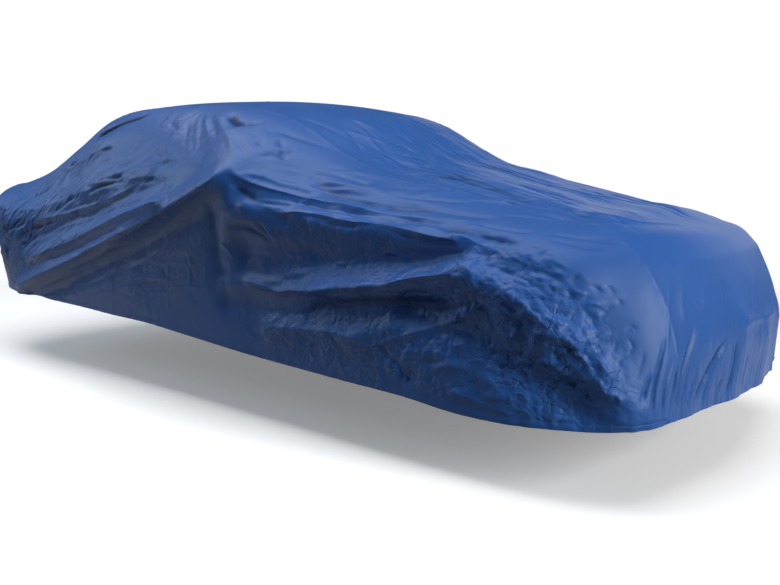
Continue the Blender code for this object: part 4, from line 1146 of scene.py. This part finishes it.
def add_cloth_map(mesh, grid):
    """A UV map in metres along and across the cloth, from the mean lengths of the grid's steps."""
    along = running_sum(step_lengths(grid, axis=0).mean(axis=1))
    across = running_sum(step_lengths(grid, axis=1).mean(axis=0))
    place = np.stack(np.meshgrid(along, across, indexing="ij"), axis=-1).reshape(-1, 2)
    corners = np.empty(len(mesh.loops), dtype=np.int32)
    mesh.loops.foreach_get("vertex_index", corners)
    layer = mesh.uv_layers.new(name="cloth")
    layer.data.foreach_set("uv", place[corners].reshape(-1).astype(np.float32))


def cloth_piece(name, grid, known, material):
    """One panel as an object. Its mesh carries a UV map and, as attributes, its slackness, its grain, its
    place on the surface without folds and how deep it is sunk in the creases, which sets their painted shade."""
    mesh = grid_mesh(name, grid)
    add_cloth_map(mesh, grid)
    for kind, values in (("slack", slackness(grid)), ("grain", grain(grid)), ("laid", known[..., :3])):
        attribute = mesh.attributes.new(kind, "FLOAT_VECTOR", "POINT")
        attribute.data.foreach_set("vector", values.reshape(-1).astype(np.float32))
    sunk = mesh.attributes.new("sunk", "FLOAT", "POINT")
    sunk.data.foreach_set("value", known[..., 3].reshape(-1).astype(np.float32))
    mesh.shade_smooth()
    mesh.materials.append(material)
    piece = bpy.data.objects.new(name, mesh)
    bpy.context.scene.collection.objects.link(piece)
    return piece


# ---------------------------------------------------------------- materials
CLOTH_BLUE_LOW = (0.017, 0.080, 0.290, 1)
CLOTH_BLUE_HIGH = (0.022, 0.094, 0.330, 1)
# A paler blue along thin lines in some slack zones
PALE_LINE_BLUE = (0.060, 0.170, 0.450, 1)
# Painted shade: the dark blue that sunk and pinched creases are mixed toward
PAINTED_SHADE_BLUE = (0.004, 0.010, 0.030, 1)
SHEEN_BLUE = (0.85, 0.93, 1.0, 1)
WHITE = (1, 1, 1, 1)

# Painted shade in the creases: how far a sunk and a pinched crease are mixed toward its dark blue, as shares
SUNK_SHADE = 0.85
PINCH_SHADE = 0.60

# The coating's gloss: its roughness goes from the first to the second value as the shade does
SPECULAR_LEVEL = 0.30
ROUGHNESS_RANGE = (0.38, 0.50)
ROUGHNESS_SHADES = (0.2, 0.8)

# Relief of the fine creases: how many to the metre each way (along and across the grain, or along X, Y and
# Z; across a side's fan, to the radian) and their height in millimetres
RELIEF_COLUMNS = ("along", "across", "upward", "height")
STREAKS_RELIEF = (
    (3.0, 20.0, 1.0, 20.0),
    (6.0, 48.0, 1.0, 7.0),
)
CRUMPLE_RELIEF = (
    (12.0, 12.0, 12.0, 30.0),
    (30.0, 30.0, 30.0, 14.0),
)

# Pinched creases, sunk in the relief and darkened with painted shade, and paler thin lines: how many to the
# metre, how wide on the noise's scale of 0 to 1, how deep in millimetres, and the level above which a second,
# a little finer noise lets them show
PINCH_SCALE = 15.0
PINCH_WIDTH = 0.020
PINCH_DEPTH = 2.0
PINCH_SHOWN_FROM = 0.52
PALE_LINE_SCALE = 17.0
PALE_LINE_WIDTH = 0.016
PALE_LINE_SHOWN_FROM = 0.54
SHOWN_SCALE = 1.3
SHOWN_STRETCH = (1.0, 1.0, 1.4)
SHOWN_RAMP = 0.06

# Slow waves of the cloth (millimetres high), the patches of its shade, and the threads of its weave
SLOW_SCALE = 9.0
SLOW_DETAIL = 2.0
SLOW_RELIEF = 1.5
SHADE_SCALE = 3.0
SHADE_DETAIL = 5.0
WEAVE_SCALE = 900.0
WEAVE_STRENGTH = 0.25
WEAVE_DEPTH = 0.2 * MILLIMETRE


def new_material(name):
    """A new material; gives it, its node tree and its shader."""
    material = bpy.data.materials.new(name)
    material.use_nodes = True
    return material, material.node_tree, material.node_tree.nodes["Principled BSDF"]


def new_group(name, inputs, outputs):
    """A node group with vectors as its inputs and numbers as its outputs; gives it, the sockets that bring
    its inputs in and those that take its outputs."""
    group = bpy.data.node_groups.new(name, "ShaderNodeTree")
    for socket in inputs:
        group.interface.new_socket(socket, in_out="INPUT", socket_type="NodeSocketVector")
    for socket in outputs:
        group.interface.new_socket(socket, in_out="OUTPUT", socket_type="NodeSocketFloat")
    return group, group.nodes.new("NodeGroupInput").outputs, group.nodes.new("NodeGroupOutput").inputs


def feed(tree, socket, value):
    """Links a socket to another one, or gives it a plain value."""
    if isinstance(value, bpy.types.NodeSocket):
        tree.links.new(value, socket)
    else:
        socket.default_value = value


def group_node(tree, group, **places):
    """A node group placed in a tree, with its inputs fed by name; gives its outputs."""
    node = tree.nodes.new("ShaderNodeGroup")
    node.node_tree = group
    for name, value in places.items():
        feed(tree, node.inputs[name], value)
    return node.outputs


def attribute_node(tree, name):
    """A mesh attribute; gives its outputs."""
    node = tree.nodes.new("ShaderNodeAttribute")
    node.attribute_type = "GEOMETRY"
    node.attribute_name = name
    return node.outputs


def split_node(tree, vector):
    """The three numbers of a vector."""
    node = tree.nodes.new("ShaderNodeSeparateXYZ")
    tree.links.new(vector, node.inputs[0])
    return node.outputs


def math_node(tree, operation, *values):
    """A Math node on sockets or numbers; gives its output socket."""
    node = tree.nodes.new("ShaderNodeMath")
    node.operation = operation
    for socket, value in zip(node.inputs, values):
        feed(tree, socket, value)
    return node.outputs[0]


def ramp_node(tree, value, low, high, to_low=0.0, to_high=1.0, kind="SMOOTHSTEP"):
    """A step of a socket from low to high, smooth or straight; gives its output socket."""
    node = tree.nodes.new("ShaderNodeMapRange")
    node.interpolation_type = kind
    names = ("Value", "From Min", "From Max", "To Min", "To Max")
    for name, given in zip(names, (value, low, high, to_low, to_high)):
        feed(tree, node.inputs[name], given)
    return node.outputs["Result"]


def noise_node(tree, place, scale, detail, stretch=None):
    """A noise over a place, which may be stretched first; gives its value's socket."""
    if stretch:
        mapping = tree.nodes.new("ShaderNodeMapping")
        mapping.inputs["Scale"].default_value = stretch
        tree.links.new(place, mapping.inputs["Vector"])
        place = mapping.outputs["Vector"]
    noise = tree.nodes.new("ShaderNodeTexNoise")
    noise.noise_type = "FBM"
    noise.inputs["Scale"].default_value = scale
    noise.inputs["Detail"].default_value = detail
    tree.links.new(place, noise.inputs["Vector"])
    return noise.outputs["Fac"]


def mixed_color(tree, factor, first, second):
    """A colour mixed from two, each a socket or a colour; gives its output socket."""
    mix = tree.nodes.new("ShaderNodeMix")
    mix.data_type = "RGBA"
    tree.links.new(factor, mix.inputs["Factor"])
    feed(tree, mix.inputs[6], first)
    feed(tree, mix.inputs[7], second)
    return mix.outputs[2]


def bump_node(tree, height, strength, distance, under=None):
    """A relief of the given height, over another one if there is one; gives its normal's socket."""
    bump = tree.nodes.new("ShaderNodeBump")
    bump.inputs["Strength"].default_value = strength
    bump.inputs["Distance"].default_value = distance
    tree.links.new(height, bump.inputs["Height"])
    if under:
        tree.links.new(under, bump.inputs["Normal"])
    return bump.outputs["Normal"]


def level_distance(tree, noise):
    """How far a noise is from its middle level. It has a sharp bend where it crosses that level, as creased
    cloth has."""
    return math_node(tree, "ABSOLUTE", math_node(tree, "SUBTRACT", noise, 0.5))


def broken_lines(tree, place, scale, width, shown_from):
    """Thin creases: where a noise crosses its middle level, shown only where a second one is high."""
    distance = level_distance(tree, noise_node(tree, place, scale, 1.0))
    line = ramp_node(tree, distance, 0.0, width, 1.0, 0.0)
    second = noise_node(tree, place, scale * SHOWN_SCALE, 0.0, SHOWN_STRETCH)
    shown = ramp_node(tree, second, shown_from, shown_from + SHOWN_RAMP)
    return math_node(tree, "MULTIPLY", line, shown)


def summed_bends(tree, place, rows):
    """A relief in millimetres: the sum of the level distances of stretched noises, one for each row."""
    total = None
    for bend in named_rows(RELIEF_COLUMNS, rows):
        noise = noise_node(tree, place, 1.0, 1.0, (bend["along"], bend["across"], bend["upward"]))
        height = math_node(tree, "MULTIPLY", level_distance(tree, noise), bend["height"])
        total = height if total is None else math_node(tree, "ADD", total, height)
    return total


def cloth_group():
    """Node group for the coated cloth. From a place, the grain and the slackness it gives the relief of the
    fine creases in millimetres, the weave, a slow shade, and masks of the pinched creases, which get painted
    shade, and of the paler thin lines."""
    names = ("Relief", "Weave", "Shade", "Pinched", "Pale_lines")
    group, given, result = new_group("coated_cloth", ("Place", "Grain", "Slack"), names)
    place = given["Place"]
    streaky, crumpled, pale_marks = split_node(group, given["Slack"])
    streaks = math_node(group, "MULTIPLY", summed_bends(group, given["Grain"], STREAKS_RELIEF), streaky)
    crumple = math_node(group, "MULTIPLY", summed_bends(group, place, CRUMPLE_RELIEF), crumpled)
    pinched = broken_lines(group, place, PINCH_SCALE, PINCH_WIDTH, PINCH_SHOWN_FROM)
    pinched = math_node(group, "MULTIPLY", pinched, crumpled)
    pale = broken_lines(group, place, PALE_LINE_SCALE, PALE_LINE_WIDTH, PALE_LINE_SHOWN_FROM)
    pale = math_node(group, "MULTIPLY", pale, pale_marks)
    relief = math_node(group, "ADD", streaks, crumple)
    relief = math_node(group, "MULTIPLY_ADD", pinched, -PINCH_DEPTH, relief)
    slow = noise_node(group, place, SLOW_SCALE, SLOW_DETAIL)
    relief = math_node(group, "MULTIPLY_ADD", slow, SLOW_RELIEF, relief)
    weave = noise_node(group, place, WEAVE_SCALE, 1.0)
    shade = noise_node(group, place, SHADE_SCALE, SHADE_DETAIL)
    for name, value in zip(names, (relief, weave, shade, pinched, pale)):
        group.links.new(value, result[name])
    return group


def height_line(tree, across, places):
    """The height of a smooth line through the places (x, height, sorted by x), over x."""
    (first, _), (last, _) = places[0], places[-1]
    low = min(up for _, up in places)
    high = max(up for _, up in places)
    spots = [((x - first) / (last - first), (up - low) / (high - low)) for x, up in places]
    line = tree.nodes.new("ShaderNodeFloatCurve")
    curve = line.mapping.curves[0]
    curve.points[0].location = spots[0]
    curve.points[1].location = spots[-1]
    for spot in spots[1:-1]:
        curve.points.new(*spot)
    line.mapping.update()
    tree.links.new(ramp_node(tree, across, first, last, kind="LINEAR"), line.inputs["Value"])
    return math_node(tree, "MULTIPLY_ADD", line.outputs["Value"], high - low, low)


def crest_height(tree, across, upward, crest):
    """The relief of one crest in millimetres, rise * exp(-d / reach): d is the distance from a smooth line
    through its places, and the reach is another above it than below it. It fades out at both ends."""
    places = sorted(crest["places"])
    (first, first_up), (last, last_up) = places[0], places[-1]
    slope = (last_up - first_up) / (last - first)
    above = math_node(tree, "SUBTRACT", upward, height_line(tree, across, places))
    above = math_node(tree, "MULTIPLY", above, 1 / (MILLIMETRE * math.hypot(1, slope)))
    falls = [math_node(tree, "MAXIMUM", math_node(tree, "DIVIDE", above, reach), 0.0)
             for reach in (crest["above"], -crest["below"])]
    fall = math_node(tree, "ADD", *falls)
    height = math_node(tree, "EXPONENT", math_node(tree, "MULTIPLY", fall, -1.0))
    starts = ramp_node(tree, across, first, first + CREST_END)
    ends = ramp_node(tree, across, last - CREST_END, last, 1.0, 0.0)
    height = math_node(tree, "MULTIPLY", height, math_node(tree, "MULTIPLY", starts, ends))
    return math_node(tree, "MULTIPLY", height, crest["rise"])


def crest_group():
    """Node group for the crisp crests: from the place on the surface without folds, their relief in
    millimetres. Only the near side, whose y is negative, has them."""
    group, given, result = new_group("crisp_crests", ("Place",), ("Relief",))
    across, aside, upward = split_node(group, given["Place"])
    total = None
    for crest in named_rows(CREST_COLUMNS, CRESTS):
        height = crest_height(group, across, upward, crest)
        total = height if total is None else math_node(group, "MAXIMUM", total, height)
    near = math_node(group, "LESS_THAN", aside, 0.0)
    group.links.new(math_node(group, "MULTIPLY", total, near), result["Relief"])
    return group


def cover_cloth(group, crests):
    """Deep blue coated cloth: semi-gloss, finely woven, with fine creases where it is slack, painted shade (a
    darker colour and less gloss) in the depth of the sunk and pinched creases, and paler thin lines."""
    material, tree, shader = new_material("blue_coated_cloth")
    place = tree.nodes.new("ShaderNodeTexCoord").outputs["Object"]
    sunk = attribute_node(tree, "sunk")["Fac"]
    slack = attribute_node(tree, "slack")["Vector"]
    cloth = group_node(tree, group, Place=place, Grain=attribute_node(tree, "grain")["Vector"], Slack=slack)
    ridges = group_node(tree, crests, Place=attribute_node(tree, "laid")["Vector"])

    color = mixed_color(tree, cloth["Shade"], CLOTH_BLUE_LOW, CLOTH_BLUE_HIGH)
    # Paler thin lines in some slack zones
    color = mixed_color(tree, cloth["Pale_lines"], color, PALE_LINE_BLUE)
    # Painted shade: deep sunk creases and pinched ones are mixed toward dark blue and lose gloss
    dark = math_node(tree, "MAXIMUM", math_node(tree, "MULTIPLY", sunk, SUNK_SHADE),
                     math_node(tree, "MULTIPLY", cloth["Pinched"], PINCH_SHADE))
    height = math_node(tree, "ADD", cloth["Relief"], ridges["Relief"])
    relief = bump_node(tree, height, 1.0, MILLIMETRE)
    surface = {
        "Base Color": mixed_color(tree, dark, color, PAINTED_SHADE_BLUE),
        "Roughness": ramp_node(tree, cloth["Shade"], *ROUGHNESS_SHADES, *ROUGHNESS_RANGE),
        "Specular IOR Level": math_node(tree, "MULTIPLY_ADD", dark, -SPECULAR_LEVEL, SPECULAR_LEVEL),
        "Specular Tint": SHEEN_BLUE,
        "Normal": bump_node(tree, cloth["Weave"], WEAVE_STRENGTH, WEAVE_DEPTH, relief),
    }
    for name, value in surface.items():
        feed(tree, shader.inputs[name], value)
    return material


# ---------------------------------------------------------------- the cover
# Flat sizes of the cut sheets, width and length in metres, and the area of a side panel, whose upper corners
# are cut away, in square metres
SIDE_FLAT = (1.40, 4.60)
SIDE_AREA = 4.7
TOP_FLAT = (1.24, 6.05)


def build_cover():
    """The three panels: one surface cut at the seams, with each panel's hem turned in. What is known of the
    points is padded where the turned hem has more of them."""
    surface, fold_normals, known = folded_surface()
    surface = add_seams(add_hem(surface, fold_normals), fold_normals)
    surface[..., 2] -= HEIGHT_OF_ORIGIN
    normals = outward_normals(surface)
    cloth = cover_cloth(cloth_group(), crest_group())
    near_columns = slice(None, NEAR_SEAM + 1)
    top_columns = slice(NEAR_SEAM, FAR_SEAM + 1)
    far_columns = slice(FAR_SEAM, None)
    near = side_panel(surface[:, near_columns], normals[:, near_columns], True)
    top = top_panel(surface[:, top_columns], normals[:, top_columns])
    far = side_panel(surface[:, far_columns], normals[:, far_columns], False)
    near_known = np.pad(known[:, near_columns], ((0, 0), (HEM_RINGS, 0), (0, 0)))
    top_known = np.pad(known[:, top_columns], ((HEM_RINGS, HEM_RINGS), (0, 0), (0, 0)))
    far_known = np.pad(known[:, far_columns], ((0, 0), (0, HEM_RINGS), (0, 0)))
    pieces = (
        ("side_panel_near_cloth", near, near_known, "side_panel_near", SIDE_FLAT, SIDE_AREA),
        ("top_panel_cloth", top, top_known, "top_panel", TOP_FLAT, None),
        ("side_panel_far_cloth", far, far_known, "side_panel_far", SIDE_FLAT, SIDE_AREA),
    )
    for name, grid, grid_known, node, flat, area in pieces:
        piece = cloth_piece(name, grid, grid_known, cloth)
        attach(piece, "root")
        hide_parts(node)


# ---------------------------------------------------------------- floor, light and camera
# The camera: place in metres, turns in radians, lens and sensor in millimetres
CAMERA_PLACE = (3.134, -3.065, 1.009 - HEIGHT_OF_ORIGIN)
CAMERA_PAN = 0.688
CAMERA_TILT = 0.131
CAMERA_ROLL = -0.008
CAMERA_LENS = 36.6
CAMERA_SENSOR = 36

# The floor's side and where it fades into white, in metres from its middle, and how bright it is to the
# camera, in the cloth's reflections and as a light on the cloth
FLOOR_SIZE = 60
FLOOR_FADE_FROM = 3.2
FLOOR_FADE_TO = 7.0
FLOOR_PAINT = 0.95
FLOOR_MIRRORED = 0.9
FLOOR_BOUNCE = 0.02
FLOOR_HAZE = 0.22

# The world's brightness to the camera, in the cloth's reflections and as a light on the cloth
WORLD_SEEN = 1.0
WORLD_MIRRORED = 0.07
WORLD_FILL = 0.03

# Rectangular lights: place and target in metres, width and height in metres, radiance and colour
LIGHT_COLUMNS = ("name", "place", "target", "width", "height", "radiance", "color")
LIGHTS = (
    ("overhead", (-0.5, -1.2, 4.5), (-0.5, -0.3, 0.0), 9.8, 3.6, 3.4, (1.0, 1.0, 1.0)),
    ("front", (8.0, -0.8, 1.3), (2.0, 0.0, -0.7), 2.4, 3.5, 15.5, (1.0, 1.0, 1.0)),
    ("tail_fill", (-8.0, -5.0, 3.0), (-1.5, -0.8, -0.6), 7.0, 4.0, 3.3, (0.66, 0.82, 1.0)),
    ("far_side", (1.0, 9.0, 2.2), (1.5, 0.0, -0.6), 12.0, 4.0, 1.0, (1.0, 1.0, 1.0)),
)


def seen_by_path(tree, path, to_camera, mirrored, otherwise):
    """One value to the camera, another where the cloth mirrors it and a third where it lights the cloth."""
    lit = ramp_node(tree, path["Is Glossy Ray"], 0.0, 1.0, otherwise, mirrored, "LINEAR")
    return ramp_node(tree, path["Is Camera Ray"], 0.0, 1.0, lit, to_camera, "LINEAR")


def floor_paint():
    """White paint, hazy to the camera, which fades into plain white light away from the cover."""
    material, tree, shader = new_material("pale_floor")
    path = tree.nodes.new("ShaderNodeLightPath").outputs
    place = tree.nodes.new("ShaderNodeTexCoord").outputs["Object"]
    surface = {
        "Base Color": seen_by_path(tree, path, FLOOR_PAINT, FLOOR_MIRRORED, FLOOR_BOUNCE),
        "Roughness": 1.0,
        "Specular IOR Level": 0.0,
        "Emission Color": WHITE,
        "Emission Strength": math_node(tree, "MULTIPLY", path["Is Camera Ray"], FLOOR_HAZE),
    }
    for name, value in surface.items():
        feed(tree, shader.inputs[name], value)
    length = tree.nodes.new("ShaderNodeVectorMath")
    length.operation = "LENGTH"
    tree.links.new(place, length.inputs[0])
    away = ramp_node(tree, length.outputs["Value"], FLOOR_FADE_FROM, FLOOR_FADE_TO)
    glow = tree.nodes.new("ShaderNodeEmission")
    mix = tree.nodes.new("ShaderNodeMixShader")
    tree.links.new(math_node(tree, "MULTIPLY", away, path["Is Camera Ray"]), mix.inputs["Fac"])
    tree.links.new(shader.outputs["BSDF"], mix.inputs[1])
    tree.links.new(glow.outputs["Emission"], mix.inputs[2])
    tree.links.new(mix.outputs["Shader"], tree.nodes["Material Output"].inputs["Surface"])
    return material


def add_floor():
    """A pale floor that fades into the white behind it; light that it sends back to the cover is dimmed."""
    bpy.ops.mesh.primitive_plane_add(size=FLOOR_SIZE, location=(0, 0, -HEIGHT_OF_ORIGIN))
    floor = bpy.context.active_object
    floor.name = "floor"
    floor.data.materials.append(floor_paint())


def add_area_light(row):
    """A rectangular light that faces its target; its power is pi * area * radiance."""
    light = bpy.data.lights.new(row["name"], "AREA")
    light.shape = "RECTANGLE"
    light.size = row["width"]
    light.size_y = row["height"]
    light.energy = math.pi * row["width"] * row["height"] * row["radiance"]
    light.color = row["color"]
    holder = bpy.data.objects.new(row["name"], light)
    bpy.context.scene.collection.objects.link(holder)
    holder.location = row["place"]
    aim = Vector(row["target"]) - Vector(row["place"])
    holder.rotation_euler = aim.to_track_quat("-Z", "Y").to_euler()


def add_world():
    """White to the camera, dim to the cover."""
    world = bpy.data.worlds.new("studio")
    bpy.context.scene.world = world
    world.use_nodes = True
    tree = world.node_tree
    background = tree.nodes["Background"]
    path = tree.nodes.new("ShaderNodeLightPath").outputs
    strength = seen_by_path(tree, path, WORLD_SEEN, WORLD_MIRRORED, WORLD_FILL)
    tree.links.new(strength, background.inputs["Strength"])
    background.inputs["Color"].default_value = WHITE


def add_camera():
    """The camera, at the place and with the view that the photograph was taken with."""
    camera = bpy.data.cameras.new("camera")
    camera.sensor_width = CAMERA_SENSOR
    camera.lens = CAMERA_LENS
    holder = bpy.data.objects.new("camera", camera)
    holder.location = CAMERA_PLACE
    holder.rotation_mode = "XYZ"
    holder.rotation_euler = (math.pi / 2 - CAMERA_TILT, CAMERA_ROLL, CAMERA_PAN)
    bpy.context.scene.collection.objects.link(holder)
    bpy.context.scene.camera = holder


build_cover()
add_floor()
for light_row in named_rows(LIGHT_COLUMNS, LIGHTS):
    add_area_light(light_row)
add_world()
add_camera()
bpy.context.scene.view_settings.view_transform = "Standard"
